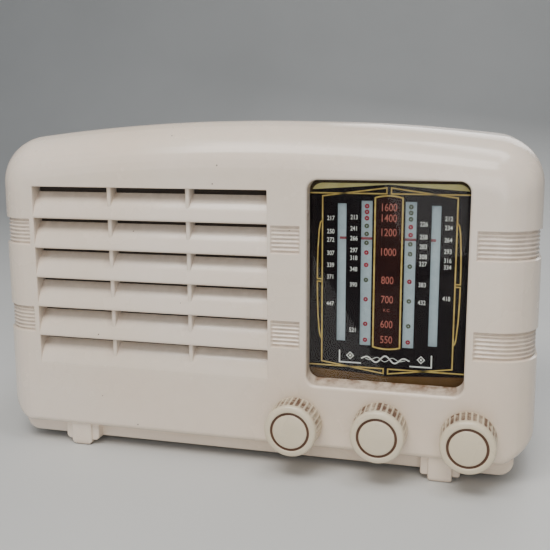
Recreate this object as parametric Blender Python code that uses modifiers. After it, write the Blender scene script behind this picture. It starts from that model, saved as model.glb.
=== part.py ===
"""Moulded table radio: cabinet, dial drive, controls, loudspeaker, chassis, rear cover and mains lead.

Metres, +Z up. The front faces -Y and +X is to the right seen from the front.
The origin is the centre of the footprint on the resting plane.
Sizes are in millimetres; the helper functions convert them with MM.
"""

import math

import bmesh
import bpy
from mathutils import Vector

MM = 0.001

# cabinet
WIDTH = 331.0           # across the sides
HEIGHT = 203.6          # resting plane to the crown of the top
FRONT = -75.0           # front plane, y
REAR = 75.0             # rear rim, y
BODY_DEPTH = REAR - FRONT
WALL = 4.0
CROWN = 4.4e-4          # drop of the top per mm squared from the centre line
ROLL_TOP = 30.0         # radius from the front into the top
ROLL_SIDE = 24.0        # radius from the front into the sides
ROLL_LOW = 4.0          # radius from the front into the underside
CORNER_TOP = 26.0       # corner radii of the outline
CORNER_LOW = 17.0
LEAN = 6.4e-5           # share by which the sides draw in per mm of height
LEAN_FROM = 30.0        # height at which the sides have their full width
BODY_LOW = 13.8         # underside of the body, above the plinth
DEPTHS = (0.0, 1.2, 4.5, 10.5, 20.9, 29.9)  # outline stations behind the front plane
# plinth and feet
PLINTH_LOW = 3.8
FLOOR_LOW = 6.5         # underside of the floor plate inside the plinth
FLOOR_THICK = 3.5
PLINTH_HALF = 155.0
PLINTH_FRONT = FRONT + 10.5
PLINTH_REAR = REAR - 6
FOOT_X = (-111.0, 114.5)
FOOT_FRONT = -72.6
# grille
GRILLE_LEFT, GRILLE_RIGHT = -135.1, 13.7
GRILLE_LOW, GRILLE_HIGH = 53.5, 164.9
BLADES = 6
BLADE_PITCH = (GRILLE_HIGH - GRILLE_LOW) / BLADES
BLADE_DEPTH = 8.7
BLADE_GAP = 3.6
BLADE_LIFT = 1.8 * 1.12  # height taken up by the thickness of a sloping blade
MULLION_X = (-85.1, -35.0)
# dial window
WINDOW_LEFT, WINDOW_RIGHT = 36.9, 125.9
WINDOW_LOW, WINDOW_HIGH = 54.8, 171.1
WINDOW_R = 6.0
SILL_DROP = 3.0         # the sill of the window falls this much towards the front
GLASS_DEPTH = 9.0
# rib bands
BANDS = ((73.3, 89.9), (128.6, 145.2))      # low and high z
RIBS = 6
RIB_PITCH = (BANDS[0][1] - BANDS[0][0]) / (RIBS + 1)
RIB_CREST = 1.0         # depth of the crests and roots below the cabinet surface
RIB_ROOT = 1.8
CENTRE_BAND = (15.5, 33.2)                  # x range between grille and window
# fixings
COVER_PADS = ((-156, 60), (156, 60), (-140, 186), (140, 186))           # x, z
COVER_SCREWS = ((-153.5, 60), (153.5, 60), (-138, 184), (138, 184))     # x, z
CHASSIS_BOLTS = ((-133.0, 5.0), (133.0, 5.0))                           # x, y
# controls, as x, z of each axis
VOLUME, TUNING, TONE = CONTROLS = ((31.2, 29.6), (80.6, 30.7), (129.7, 29.6))
KNOB_R = 15.7           # at the rear rim
KNOB_FACE_R = 15.1
KNOB_LENGTH = 15.6
KNOB_REAR = FRONT - 2.0
FLUTES = 30
SHAFT_R = 3.0
SHAFT_FRONT = -89
# dial drive
DRIVE_Y = -54.0         # plane of the cord
SPINDLE_R = 3.5         # radii at which the cord runs
PULLEY_R = 5.0
DRUM_R = 25.46
DRUM_X, DRUM_Z = 104.0, 76.0
CORD_X = 60.0           # straight run that carries the pointer
CORD_R = 0.35
PULLEY_X = CORD_X + PULLEY_R
GAP = 0.3               # running clearance
UPPER_Z = 169.0
LOWER_Z = 62.0
POINTER_Z = 137.5
POINTER_LEFT, POINTER_RIGHT = 53.5, 107.6
RAIL_X = 51.0
PLATE_Y = -59.0         # front of the dial plate
# loudspeaker
CLOTH_Y = FRONT + 10.8
BAFFLE_Y = CLOTH_Y + 0.9
BAFFLE_THICK = 4
SPEAKER_X, SPEAKER_Y, SPEAKER_Z = -60.7, BAFFLE_Y + BAFFLE_THICK + 0.3, 110.0
SPEAKER = (SPEAKER_X, SPEAKER_Y, SPEAKER_Z)
SPEAKER_R = 62.0
EAR_REACH = 66.5 * math.sqrt(0.5)           # x and z distance of a screw from the axis
EARS = [(SPEAKER_X + EAR_REACH * a, SPEAKER_Z + EAR_REACH * b)
        for a, b in ((-1, 1), (1, 1), (-1, -1), (1, -1))]
# chassis
CHASSIS_HALF = 146.0
CHASSIS_FRONT, CHASSIS_REAR = -50.0, 58.0
CHASSIS_LOW, DECK = 11.0, 45.0
SHEET = 1.4
ON_DECK = DECK + 0.4    # underside of the parts that stand on the deck
VALVES = ((-10.0, 34.0), (22.0, 34.0), (54.0, 34.0), (58.0, -16.0))     # x, y

for old in list(bpy.data.objects):
    bpy.data.objects.remove(old, do_unlink=True)
for old in list(bpy.data.collections):
    bpy.data.collections.remove(old)
parts = bpy.data.collections.new("table_radio")
cutters = bpy.data.collections.new("cutters")
bpy.context.scene.collection.children.link(parts)
bpy.context.scene.collection.children.link(cutters)


# ---- materials ----------------------------------------------------------

def material(name, rgb, rough, metal=0.0):
    mat = bpy.data.materials.new(name)
    mat.use_nodes = True
    node = mat.node_tree.nodes["Principled BSDF"]
    node.inputs["Base Color"].default_value = (*rgb, 1.0)
    node.inputs["Roughness"].default_value = rough
    node.inputs["Metallic"].default_value = metal
    mat.diffuse_color = (*rgb, 1.0)
    return mat


IVORY = material("ivory_moulding", rgb=(0.60, 0.53, 0.43), rough=0.28)
KNOB_MOULDING = material("knob_moulding", rgb=(0.66, 0.57, 0.38), rough=0.3)
GLASS = material("dial_glass", rgb=(0.02, 0.02, 0.02), rough=0.08)
CLOTH = material("grille_cloth", rgb=(0.07, 0.045, 0.03), rough=0.9)
BOARD = material("fibre_board", rgb=(0.16, 0.09, 0.05), rough=0.85)
STEEL = material("plated_steel", rgb=(0.55, 0.55, 0.56), rough=0.35, metal=1.0)
ALUMINIUM = material("aluminium", rgb=(0.72, 0.73, 0.74), rough=0.4, metal=1.0)
BRASS = material("brass", rgb=(0.71, 0.55, 0.26), rough=0.35, metal=1.0)
PAPER = material("cone_paper", rgb=(0.05, 0.045, 0.04), rough=0.95)
VALVE_GLASS = material("valve_glass", rgb=(0.5, 0.52, 0.52), rough=0.05)
PHENOLIC = material("phenolic", rgb=(0.05, 0.025, 0.015), rough=0.4)
CORE = material("transformer_core", rgb=(0.09, 0.09, 0.1), rough=0.5, metal=0.6)
WINDING = material("winding_wrap", rgb=(0.55, 0.38, 0.14), rough=0.6)
ENAMEL = material("pointer_enamel", rgb=(0.35, 0.02, 0.02), rough=0.4)
WAXED_CORD = material("waxed_cord", rgb=(0.35, 0.28, 0.15), rough=0.8)
BRAID = material("lead_braid", rgb=(0.12, 0.07, 0.04), rough=0.8)
PLUG_MOULDING = material("plug_moulding", rgb=(0.04, 0.03, 0.025), rough=0.35)


# ---- helpers ------------------------------------------------------------

def place(name, mesh, mat=None, loc=(0, 0, 0), rot=(0, 0, 0), cutter=False):
    piece = bpy.data.objects.new(name, mesh)
    piece.location = [v * MM for v in loc]
    piece.rotation_euler = rot
    if mat:
        mesh.materials.append(mat)
    if cutter:
        piece.hide_render = True
        piece.display_type = "WIRE"
        cutters.objects.link(piece)
    else:
        parts.objects.link(piece)
    return piece


def finish(form, name, smooth=False):
    bmesh.ops.recalc_face_normals(form, faces=form.faces)
    mesh = bpy.data.meshes.new(name)
    form.to_mesh(mesh)
    form.free()
    if smooth:
        mesh.shade_smooth()
        mesh.set_sharp_from_angle(angle=math.radians(35))
    return mesh


def boxes(name, ranges, mat=None, cutter=False, bevel=0.0, loc=(0, 0, 0), rot=(0, 0, 0)):
    """Separate blocks, each given as (left, right, front, back, low, high)."""
    form = bmesh.new()
    for left, right, front, back, low, high in ranges:
        made = bmesh.ops.create_cube(form, size=1.0)["verts"]
        size = ((right - left) * MM, (back - front) * MM, (high - low) * MM)
        centre = ((left + right) / 2 * MM, (front + back) / 2 * MM, (low + high) / 2 * MM)
        bmesh.ops.scale(form, vec=size, verts=made)
        bmesh.ops.translate(form, vec=centre, verts=made)
    piece = place(name, finish(form, name), mat, loc, rot, cutter)
    if bevel:
        mod = piece.modifiers.new("edges", "BEVEL")
        mod.width = bevel * MM
        mod.segments = 1 if cutter else 2
        mod.limit_method = "ANGLE"
        mod.use_clamp_overlap = True
    return piece


def add_cylinder(form, radius, length, sides):
    """Add a cylinder centred on the Z axis; length is in metres."""
    return bmesh.ops.create_cone(form, cap_ends=True, segments=sides, radius1=radius * MM,
                                 radius2=radius * MM, depth=length)["verts"]


def rods(name, ends, radius, mat=None, cutter=False, sides=20):
    """Separate cylinders between pairs of points."""
    form = bmesh.new()
    for start, end in ends:
        start, end = Vector(start) * MM, Vector(end) * MM
        turn = (end - start).to_track_quat("Z", "Y").to_matrix()
        made = add_cylinder(form, radius, (end - start).length, sides)
        bmesh.ops.rotate(form, matrix=turn, verts=made)
        bmesh.ops.translate(form, vec=(start + end) / 2, verts=made)
    return place(name, finish(form, name, True), mat, cutter=cutter)


def turned(name, profile, mat, loc, sides, along="Y", closed=False):
    """Profile points (radius, distance along the axis), turned about the axis.

    A closed profile makes a ring; an open one starts and ends on the axis.
    """
    area = sum(a[0] * b[1] - b[0] * a[1] for a, b in zip(profile, profile[1:] + profile[:1]))
    if area > 0:  # every profile runs the same way round
        profile = profile[::-1]
    form = bmesh.new()
    made = [form.verts.new((r * MM, 0, z * MM)) for r, z in profile]
    for a, b in zip(made, made[1:]):
        form.edges.new((a, b))
    if closed:
        form.edges.new((made[-1], made[0]))
    mesh = bpy.data.meshes.new(name)
    form.to_mesh(mesh)
    form.free()
    rot = {"Z": (0, 0, 0), "Y": (-math.pi / 2, 0, 0)}[along]
    piece = place(name, mesh, mat, loc, rot)
    mod = piece.modifiers.new("turn", "SCREW")
    mod.axis = "Z"
    mod.angle = math.tau
    mod.steps = mod.render_steps = sides
    mod.use_merge_vertices = True
    mod.merge_threshold = 0.00001
    mod.use_smooth_shade = True
    return piece


def plate(name, outlines, thick, middle, mat=None, cutter=False):
    """An upright plate from (x, z) outlines of its edge and holes; middle is its mid-plane y."""
    curve = bpy.data.curves.new(name, "CURVE")
    curve.dimensions = "2D"
    curve.fill_mode = "BOTH"
    curve.extrude = thick / 2 * MM
    for points in outlines:
        spline = curve.splines.new("POLY")
        spline.points.add(len(points) - 1)
        for point, (x, z) in zip(spline.points, points):
            point.co = (x * MM, z * MM, 0, 1)
        spline.use_cyclic_u = True
    flat = place(name + "_outline", curve, loc=(0, middle, 0), rot=(math.pi / 2, 0, 0), cutter=True)

    # turn the filled curve into a closed mesh
    bpy.context.view_layer.update()
    evaluated = flat.evaluated_get(bpy.context.evaluated_depsgraph_get())
    mesh = bpy.data.meshes.new_from_object(evaluated)
    mesh.name = name
    form = bmesh.new()
    form.from_mesh(mesh)
    bmesh.ops.remove_doubles(form, verts=form.verts, dist=0.000002)
    bmesh.ops.recalc_face_normals(form, faces=form.faces)
    form.to_mesh(mesh)
    form.free()
    mesh.materials.clear()
    matrix = flat.matrix_world.copy()
    bpy.data.objects.remove(flat, do_unlink=True)
    piece = place(name, mesh, mat, cutter=cutter)
    piece.matrix_world = matrix
    return piece


def wire(name, points, radius, mat, resolution, cyclic=False):
    curve = bpy.data.curves.new(name, "CURVE")
    curve.dimensions = "3D"
    curve.bevel_depth = radius * MM
    curve.bevel_resolution = resolution
    curve.use_fill_caps = not cyclic
    spline = curve.splines.new("POLY")
    spline.points.add(len(points) - 1)
    for point, (x, y, z) in zip(spline.points, points):
        point.co = (x * MM, y * MM, z * MM, 1)
    spline.use_cyclic_u = cyclic
    return place(name, curve, mat)


def add_loft(form, rings):
    """Add a capped solid through rings of (x, y, z) points."""
    rings = [[form.verts.new((x * MM, y * MM, z * MM)) for x, y, z in ring] for ring in rings]
    count = len(rings[0])
    for a, b in zip(rings, rings[1:]):
        for i in range(count):
            j = (i + 1) % count
            form.faces.new((a[i], a[j], b[j], b[i]))
    form.faces.new(rings[0])
    form.faces.new(rings[-1])


def boolean(piece, other, how, solver="EXACT"):
    mod = piece.modifiers.new(other.name, "BOOLEAN")
    mod.object = other
    mod.operation = how
    mod.solver = solver


def cut(piece, *others):
    for other in others:
        boolean(piece, other, "DIFFERENCE")


def join(piece, *others):
    for other in others:
        boolean(piece, other, "UNION")


def rounded(left, right, low, high, radius, steps=4):
    points = []
    corners = ((right - radius, high - radius, 0), (left + radius, high - radius, 90),
               (left + radius, low + radius, 180), (right - radius, low + radius, 270))
    for x, z, start in corners:
        for i in range(steps + 1):
            angle = math.radians(start + 90 * i / steps)
            points.append((x + radius * math.cos(angle), z + radius * math.sin(angle)))
    return points


def circle(x, z, radius, steps):
    angles = [math.tau * i / steps for i in range(steps)]
    return [(x + radius * math.cos(t), z + radius * math.sin(t)) for t in angles]


# ---- cabinet form -------------------------------------------------------

def roll(radius, depth, wall):
    """How far an edge with this front radius has drawn in at a depth behind the front."""
    if depth >= radius or radius <= wall:
        return wall
    return radius - math.sqrt(max((radius - wall) ** 2 - (radius - depth) ** 2, 0.0))


def crown(x, drawn):
    return HEIGHT - CROWN * x * x - drawn


def outline(depth, wall=0.0, n_top=6, n_arc=4):
    """Body outline (x, z) at a depth behind the front, drawn in by wall."""
    top, side, low = (roll(r, depth, wall) for r in (ROLL_TOP, ROLL_SIDE, ROLL_LOW))
    half = WIDTH / 2 - side
    # the elliptical top corner starts where it touches the slope of the crown
    corner_x = max(CORNER_TOP - 0.85 * side, 3.0)
    corner_z = max(CORNER_TOP - 0.6 * top, 3.0)
    edge = half - corner_x
    for _ in range(6):
        start = math.atan2(corner_z, 2 * CROWN * edge * corner_x)
        edge = half - corner_x + corner_x * math.cos(start)
    centre_x = half - corner_x
    centre_z = crown(edge, top) - corner_z * math.sin(start)
    low_r = max(CORNER_LOW - 0.8 * side, 3.0)
    floor = BODY_LOW + low
    right = [(edge * i / n_top, crown(edge * i / n_top, top)) for i in range(n_top)]
    for i in range(n_arc + 1):
        angle = start * (1 - i / n_arc)
        right.append((centre_x + corner_x * math.cos(angle), centre_z + corner_z * math.sin(angle)))
    for i in range(n_arc + 1):
        angle = math.pi / 2 * i / n_arc
        right.append((half - low_r + low_r * math.cos(angle),
                      floor + low_r - low_r * math.sin(angle)))
    right = [(x * (1 - LEAN * (z - LEAN_FROM)), z) for x, z in right]
    left = [(-x, z) for x, z in right[:0:-1]]
    return right + left


def shell_form(name, depths, wall, cutter=True, mat=None):
    """Loft through outlines at depths behind the front plane."""
    form = bmesh.new()
    add_loft(form, [[(x, FRONT + depth, z) for x, z in outline(depth, wall)] for depth in depths])
    return place(name, finish(form, name, True), mat, cutter=cutter)


cabinet = shell_form("cabinet", DEPTHS + (BODY_DEPTH,), 0.0, cutter=False, mat=IVORY)
hollow = shell_form("hollow", tuple(WALL + d * (ROLL_TOP - WALL) / ROLL_TOP for d in DEPTHS)
                    + (BODY_DEPTH + 10,), WALL)

# plinth: a set-back skirt with a floor plate, open underneath
plinth = plate("plinth_form",
               [rounded(-PLINTH_HALF, PLINTH_HALF, PLINTH_LOW, BODY_LOW + 16, 8.5)],
               PLINTH_REAR - PLINTH_FRONT, (PLINTH_FRONT + PLINTH_REAR) / 2, cutter=True)
pocket = boxes("plinth_pocket", [(-PLINTH_HALF + 8, PLINTH_HALF - 8, PLINTH_FRONT + 4, REAR + 5,
                                  FLOOR_LOW + FLOOR_THICK, BODY_LOW + 20)], cutter=True)
under = boxes("plinth_underside", [(-144, 144, PLINTH_FRONT + 4, REAR - 10, -5, FLOOR_LOW)],
              cutter=True)


def foot_blocks(name, half, low, spans):
    """Blocks at both foot positions; spans are (front, back, high)."""
    return boxes(name, [(x - half, x + half, front, back, low, high)
                        for x in FOOT_X for front, back, high in spans], cutter=True, bevel=1.5)


# the front feet stand proud of the plinth; wider lobes stop short of the resting plane
feet = foot_blocks("feet_form", 6.9, 0, ((FOOT_FRONT, PLINTH_FRONT + 3.6, BODY_LOW + 2.6),
                                         (REAR - 26, REAR - 10.6, FLOOR_LOW + 2)))
lobes = foot_blocks("foot_lobes", 11.3, 2.75,
                    ((FOOT_FRONT + 1.7, PLINTH_FRONT + 2.6, BODY_LOW + 2.2),
                     (REAR - 24.4, REAR - 11.6, FLOOR_LOW + 1.5)))

# grille: the opening, its side webs and mullions, then the sloping blades
opening = boxes("grille_opening", [(GRILLE_LEFT, GRILLE_RIGHT, FRONT - 20, FRONT + 30,
                                    GRILLE_LOW, GRILLE_HIGH)], cutter=True)
web_spans = [(GRILLE_LEFT - 2.5, GRILLE_LEFT, FRONT + 2),
             (GRILLE_RIGHT, GRILLE_RIGHT + 2.5, FRONT + 2)]
web_spans += [(x - 1.5, x + 1.5, FRONT + 2.4) for x in MULLION_X]
webs = boxes("grille_webs", [(left, right, front, FRONT + 10.5, GRILLE_LOW - 3, GRILLE_HIGH + 3)
                             for left, right, front in web_spans], cutter=True)


def blade(index):
    """Section (y, z) of one blade, rising towards the back."""
    low = GRILLE_LOW + BLADE_PITCH * index
    high = GRILLE_LOW + BLADE_PITCH * (index + 1) - BLADE_GAP
    start = FRONT if index else FRONT + 0.6
    end = FRONT + BLADE_DEPTH + 1.2
    return [(start, low), (start, low - BLADE_LIFT * 1.3), (end, high - BLADE_LIFT - 0.6),
            (end, high), (FRONT + BLADE_DEPTH, high)]


def blade_forms():
    form = bmesh.new()
    for index in range(BLADES):
        add_loft(form, [[(x, y, z) for y, z in blade(index)]
                        for x in (GRILLE_LEFT - 1.2, GRILLE_RIGHT + 1.2)])
    return place("blade_forms", finish(form, "blade_forms"), cutter=True)


blades = blade_forms()

# dial window: a collar stands behind the front wall and the opening runs through both
collar = plate("window_collar",
               [rounded(WINDOW_LEFT - 2.6, WINDOW_RIGHT + 2.6, WINDOW_LOW - 4.4,
                        WINDOW_HIGH + 2.6, WINDOW_R + 2.6)],
               GLASS_DEPTH - 2, FRONT + 2 + (GLASS_DEPTH - 2) / 2, cutter=True)


def window_form():
    """The opening, with a sill that rises from the front plane to the glass."""
    form = bmesh.new()
    stations = ((FRONT - 12, SILL_DROP), (FRONT, SILL_DROP), (FRONT + GLASS_DEPTH, 0.0),
                (FRONT + 20, 0.0))
    add_loft(form, [[(x, y, z) for x, z in rounded(WINDOW_LEFT, WINDOW_RIGHT, WINDOW_LOW - drop,
                                                   WINDOW_HIGH, WINDOW_R)]
                    for y, drop in stations])
    return place("window_cut", finish(form, "window_cut"), cutter=True)


window = window_form()
spindle_holes = rods("spindle_holes", [((x, FRONT - 10, z), (x, FRONT + 12, z))
                                       for x, z in CONTROLS], 5.5, cutter=True)

# rib bands: a shallow recess, with deeper grooves between the ribs of the centre stretch
crest_form, root_form = (
    shell_form(name, (inset,) + DEPTHS[2:] + (BODY_DEPTH + 5,), inset)
    for name, inset in (("crest_form", RIB_CREST), ("root_form", RIB_ROOT)))
RECESSES = ((-200.0, -138.0, 55), (*CENTRE_BAND, FRONT + 10), (129.8, 200.0, 55))  # x range, back
recess = boxes("rib_recess", [(left, right, FRONT - 10, back, low, high)
                              for low, high in BANDS for left, right, back in RECESSES],
               cutter=True)
cut(recess, crest_form)
grooves = boxes("rib_grooves", [(CENTRE_BAND[0] + 0.5, CENTRE_BAND[1] - 0.5, FRONT - 12, FRONT + 12,
                                 low + RIB_PITCH * i + 0.35, low + RIB_PITCH * (i + 1) - 0.65)
                                for low, _ in BANDS for i in range(RIBS + 1)], cutter=True)
cut(grooves, root_form)

# rear: pads for the cover screws, kept inside the cabinet walls, and chassis bolt holes
pads = boxes("cover_pads", [(x - 7, x + 7, 52, 70.2, z - 6, z + 6) for x, z in COVER_PADS],
             cutter=True)
outer_guard = shell_form("outer_guard", DEPTHS + (BODY_DEPTH,), 2.0)
boolean(pads, outer_guard, "INTERSECT")
pad_holes = rods("cover_screw_holes", [((x, 56, z), (x, 80, z)) for x, z in COVER_SCREWS],
                 1.7, cutter=True, sides=12)
bolt_holes = rods("chassis_bolt_holes", [((x, y, -5), (x, y, 20)) for x, y in CHASSIS_BOLTS],
                  2.3, cutter=True, sides=12)

join(cabinet, plinth)
cut(cabinet, hollow, pocket, under)
join(cabinet, feet, lobes, collar)
cut(cabinet, opening)
join(cabinet, webs, blades, pads)
cut(cabinet, window, spindle_holes, recess, grooves, pad_holes, bolt_holes)

# ---- loudspeaker --------------------------------------------------------
boxes("grille_cloth", [(GRILLE_LEFT - 5, GRILLE_RIGHT + 4.5, CLOTH_Y, CLOTH_Y + 0.6,
                        GRILLE_LOW - 3, GRILLE_HIGH + 1)], CLOTH)
plate("speaker_baffle",
      [rounded(GRILLE_LEFT - 6, GRILLE_RIGHT + 5.5, GRILLE_LOW - 4, GRILLE_HIGH + 3, 4),
       circle(SPEAKER_X, SPEAKER_Z, 53, 28)] + [circle(x, z, 1.8, 8) for x, z in EARS],
      BAFFLE_THICK, BAFFLE_Y + BAFFLE_THICK / 2, BOARD)

# frame: a pressed basket with windows cut on both diagonals and four ears on its rim
basket = turned("speaker_frame", [
    (57.3, 0), (SPEAKER_R, 0), (SPEAKER_R, 1.2), (58.5, 1.2), (34, 29), (27, 36.5),
    (13.5, 36.5), (13.5, 35.3), (26.4, 35.3), (33, 28.2), (57.3, 1.4),
], STEEL, SPEAKER, 28, closed=True)
for name, angle in (("frame_windows", 45), ("frame_windows_2", -45)):
    cut(basket, boxes(name, [(-45, 45, 7, 27, -11, 11)], cutter=True, loc=SPEAKER,
                      rot=(0, math.radians(angle), 0)))
for i, angle in enumerate((45, 135, 225, 315)):
    join(basket, boxes(f"speaker_ear_{i}", [(59.5, 72, 0.05, 1.15, -7, 7)], cutter=True,
                       loc=SPEAKER, rot=(0, math.radians(-angle), 0)))
cut(basket, rods("speaker_screw_bores", [((x, SPEAKER_Y - 6, z), (x, SPEAKER_Y + 3, z))
                                         for x, z in EARS], 1.8, cutter=True, sides=10))

turned("speaker_surround", [
    (50.7, 0.1), (53.8, -0.5), (57.0, 0.1), (57.0, 0.9), (53.8, 0.3), (50.7, 0.9),
], PAPER, (SPEAKER_X, SPEAKER_Y + 0.2, SPEAKER_Z), 28, closed=True)
turned("speaker_cone", [
    (0, 15.5), (6, 16.2), (11.5, 18.5), (50.3, 0.3), (50.3, 1.4), (13, 20.6),
    (12.9, 27.5), (11.9, 27.5), (11.9, 19.6), (6, 17.2), (0, 16.5),
], PAPER, SPEAKER, 28)
turned("speaker_magnet", [
    (0, 36.8), (11.3, 36.8), (11.3, 38), (22.5, 38), (24, 39.5), (24, 54.5), (22.5, 56), (0, 56),
], CORE, SPEAKER, 24)
for i, (x, z) in enumerate(EARS):
    turned(f"speaker_screw_{i + 1}", [
        (0, -3), (1.4, -3), (1.4, 1.5), (3.2, 1.5), (2.9, 2.6), (1.8, 3.2), (0, 3.4),
    ], BRASS, (x, SPEAKER_Y, z), 12)
boxes("output_transformer", [(-119, -85, 12, 44, ON_DECK, 78)], CORE, bevel=2.5)

# ---- dial ---------------------------------------------------------------
GLASS_THICK = 2.4
plate("dial_glass", [rounded(WINDOW_LEFT - 2.3, WINDOW_RIGHT + 2.3, WINDOW_LOW - 2.3,
                             WINDOW_HIGH + 2.3, WINDOW_R + 2)],
      GLASS_THICK, FRONT + GLASS_DEPTH + 0.3 + GLASS_THICK / 2, GLASS)

# dial plate: slotted along the cord, with a lamp hole, feet, pulley pins and rail holders
LAMP_X, LAMP_Z = 119, 160
dial_plate = plate("dial_plate", [
    rounded(WINDOW_LEFT + 0.5, WINDOW_RIGHT - 0.5, 50.0, WINDOW_HIGH + 1.5, 4),
    [(59.2, 72.0), (63.0, 72.0), (63.0, 162.0), (59.2, 162.0)],
    circle(LAMP_X, LAMP_Z, 5.6, 14),
], 1.0, PLATE_Y + 0.5, STEEL)
tabs = boxes("dial_plate_tabs", [(left, right, PLATE_Y + 0.1, -45, ON_DECK, 46.6)
                                 for left, right in ((38.5, 50), (112, 124))], cutter=True)
legs = boxes("dial_plate_legs", [(left, right, PLATE_Y + 0.2, PLATE_Y + 1.2, 46.0, 56)
                                 for left, right in ((38.8, 49.7), (112.3, 123.7))], cutter=True)
pins = rods("pulley_pins", [((PULLEY_X, PLATE_Y + 0.5, z), (PULLEY_X, DRIVE_Y + 3, z))
                            for z in (UPPER_Z, LOWER_Z)], 1.5, cutter=True, sides=12)
holders = boxes("rail_holders", [(RAIL_X - 3, RAIL_X + 2.6, PLATE_Y + 0.5, DRIVE_Y + 2.5, z, z + 3)
                                 for z in (66.5, 166.0)], cutter=True)
rail_bores = rods("rail_bores", [((RAIL_X, DRIVE_Y, 60), (RAIL_X, DRIVE_Y, 180))], 1.5,
                  cutter=True, sides=14)
join(dial_plate, tabs, legs, pins, holders)
cut(dial_plate, rail_bores)
rods("pointer_rail", [((RAIL_X, DRIVE_Y, 65), (RAIL_X, DRIVE_Y, 171))], 1.15, STEEL, sides=14)

# pointer: a stem through the slot ties the needle to a slider on the rail and the cord
POINTER_LOC = (0, 0, POINTER_Z)
pointer = boxes("dial_pointer", [(POINTER_LEFT, POINTER_RIGHT, -61.6, -60.6, -0.65, 0.65)],
                ENAMEL, loc=POINTER_LOC)
stem = boxes("pointer_stem", [(59.8, 62.0, -61.3, -55.5, -1.6, 1.6)], cutter=True, loc=POINTER_LOC)
slider = boxes("pointer_slider", [(RAIL_X - 3, CORD_X + 2.2, DRIVE_Y - 2.6, DRIVE_Y + 2.6,
                                   -3.5, 3.5)], cutter=True, loc=POINTER_LOC)
join(pointer, stem, slider)
for name, x, radius, sides in (("slider_bores", RAIL_X, 1.5, 14), ("cord_bore", CORD_X, 0.8, 10)):
    cut(pointer, rods(name, [((x, DRIVE_Y, POINTER_Z - 8), (x, DRIVE_Y, POINTER_Z + 8))],
                      radius, cutter=True, sides=sides))

# pulleys and drum, with grooves that clear the cord
CORD_SPACE = CORD_R + GAP
for name, z in (("pulley_upper", UPPER_Z), ("pulley_lower", LOWER_Z)):
    turned(name, [
        (1.8, -2), (6.4, -2), (6.4, -1.2), (PULLEY_R - CORD_SPACE, -0.6),
        (PULLEY_R - CORD_SPACE, 0.6), (6.4, 1.2), (6.4, 2), (1.8, 2),
    ], BRASS, (PULLEY_X, DRIVE_Y, z), 16, closed=True)
turned("tuning_drum", [
    (3.3, -2.5), (6, -2.5), (6, -0.8), (21, -0.8), (22, -2.6), (27.4, -2.6), (27.4, -1.8),
    (DRUM_R - CORD_SPACE, -1.6), (DRUM_R - CORD_SPACE, 1.6),
    (27.4, 1.8), (27.4, 2.6), (22, 2.6), (21, 0.8), (6, 0.8), (6, 6), (3.3, 6),
], ALUMINIUM, (DRUM_X, DRIVE_Y, DRUM_Z), 28, closed=True)
turned("tuning_spindle", [
    (0, SHAFT_FRONT), (SHAFT_R, SHAFT_FRONT), (SHAFT_R, -57.5), (2.85, -57.2), (2.85, -51.2),
    (SHAFT_R, -50.9), (SHAFT_R, -36), (0, -36),
], STEEL, (TUNING[0], 0, TUNING[1]), 20)
turned("spindle_bush", [
    (3.3, -51.4), (6.5, -51.4), (6.5, -50.3), (4.7, -50.3), (4.7, -40), (3.3, -40),
], BRASS, (TUNING[0], 0, TUNING[1]), 20, closed=True)


# ---- dial cord ----------------------------------------------------------

def arc(centre, radius, start, end, start_y, end_y, steps):
    """Points round a wheel between two angles in degrees."""
    points = []
    for i in range(steps + 1):
        angle = math.radians(start + (end - start) * i / steps)
        points.append((centre[0] + radius * math.cos(angle),
                       start_y + (end_y - start_y) * i / steps,
                       centre[1] + radius * math.sin(angle)))
    return points


def touching(centre, radius, next_centre, next_radius, sign, crossed):
    """One touching angle on each wheel; sign picks the side of the line between centres."""
    run_x, run_z = next_centre[0] - centre[0], next_centre[1] - centre[1]
    base, far = math.atan2(run_z, run_x), math.hypot(run_x, run_z)
    turn = math.acos((radius + next_radius if crossed else radius - next_radius) / far)
    angle = base + sign * turn
    return math.degrees(angle), math.degrees(angle + math.pi if crossed else angle)


def wrap(angle, low):
    """The same angle within one turn above low."""
    while angle < low:
        angle += 360
    while angle >= low + 360:
        angle -= 360
    return angle


def cord_path():
    """Over the upper pulley, round drum and spindle, past the lower pulley, up the pointer run."""
    upper, lower, drum = (PULLEY_X, UPPER_Z), (PULLEY_X, LOWER_Z), (DRUM_X, DRUM_Z)
    # right of the upper pulley to the left of the drum
    upper_out, drum_in = touching(upper, PULLEY_R, drum, DRUM_R, 1, True)
    # left of the drum to the right of the spindle
    drum_out, spindle_in = touching(drum, DRUM_R, TUNING, SPINDLE_R, -1, True)
    # left of the spindle to the left of the lower pulley
    spindle_out, lower_in = touching(TUNING, SPINDLE_R, lower, PULLEY_R, 1, False)

    path = arc(upper, PULLEY_R, 180, wrap(upper_out, -180), DRIVE_Y, DRIVE_Y, 8)
    drum_in = wrap(drum_in, 90)
    drum_out = wrap(drum_out, drum_in + 300)
    path += arc(drum, DRUM_R, drum_in, drum_out, DRIVE_Y - 1.0, DRIVE_Y + 1.0, 28)
    spindle_in = wrap(spindle_in, -180)
    spindle_out = wrap(spindle_out, -180)
    while spindle_out > spindle_in - 400:  # more than a full turn round the spindle
        spindle_out -= 360
    path += arc(TUNING, SPINDLE_R, spindle_in, spindle_out, DRIVE_Y + 1.9, DRIVE_Y - 1.9, 24)
    path += arc(lower, PULLEY_R, wrap(lower_in, 90), 180, DRIVE_Y, DRIVE_Y, 4)
    return path


wire("dial_cord", cord_path(), CORD_R, WAXED_CORD, resolution=0, cyclic=True)

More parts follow.
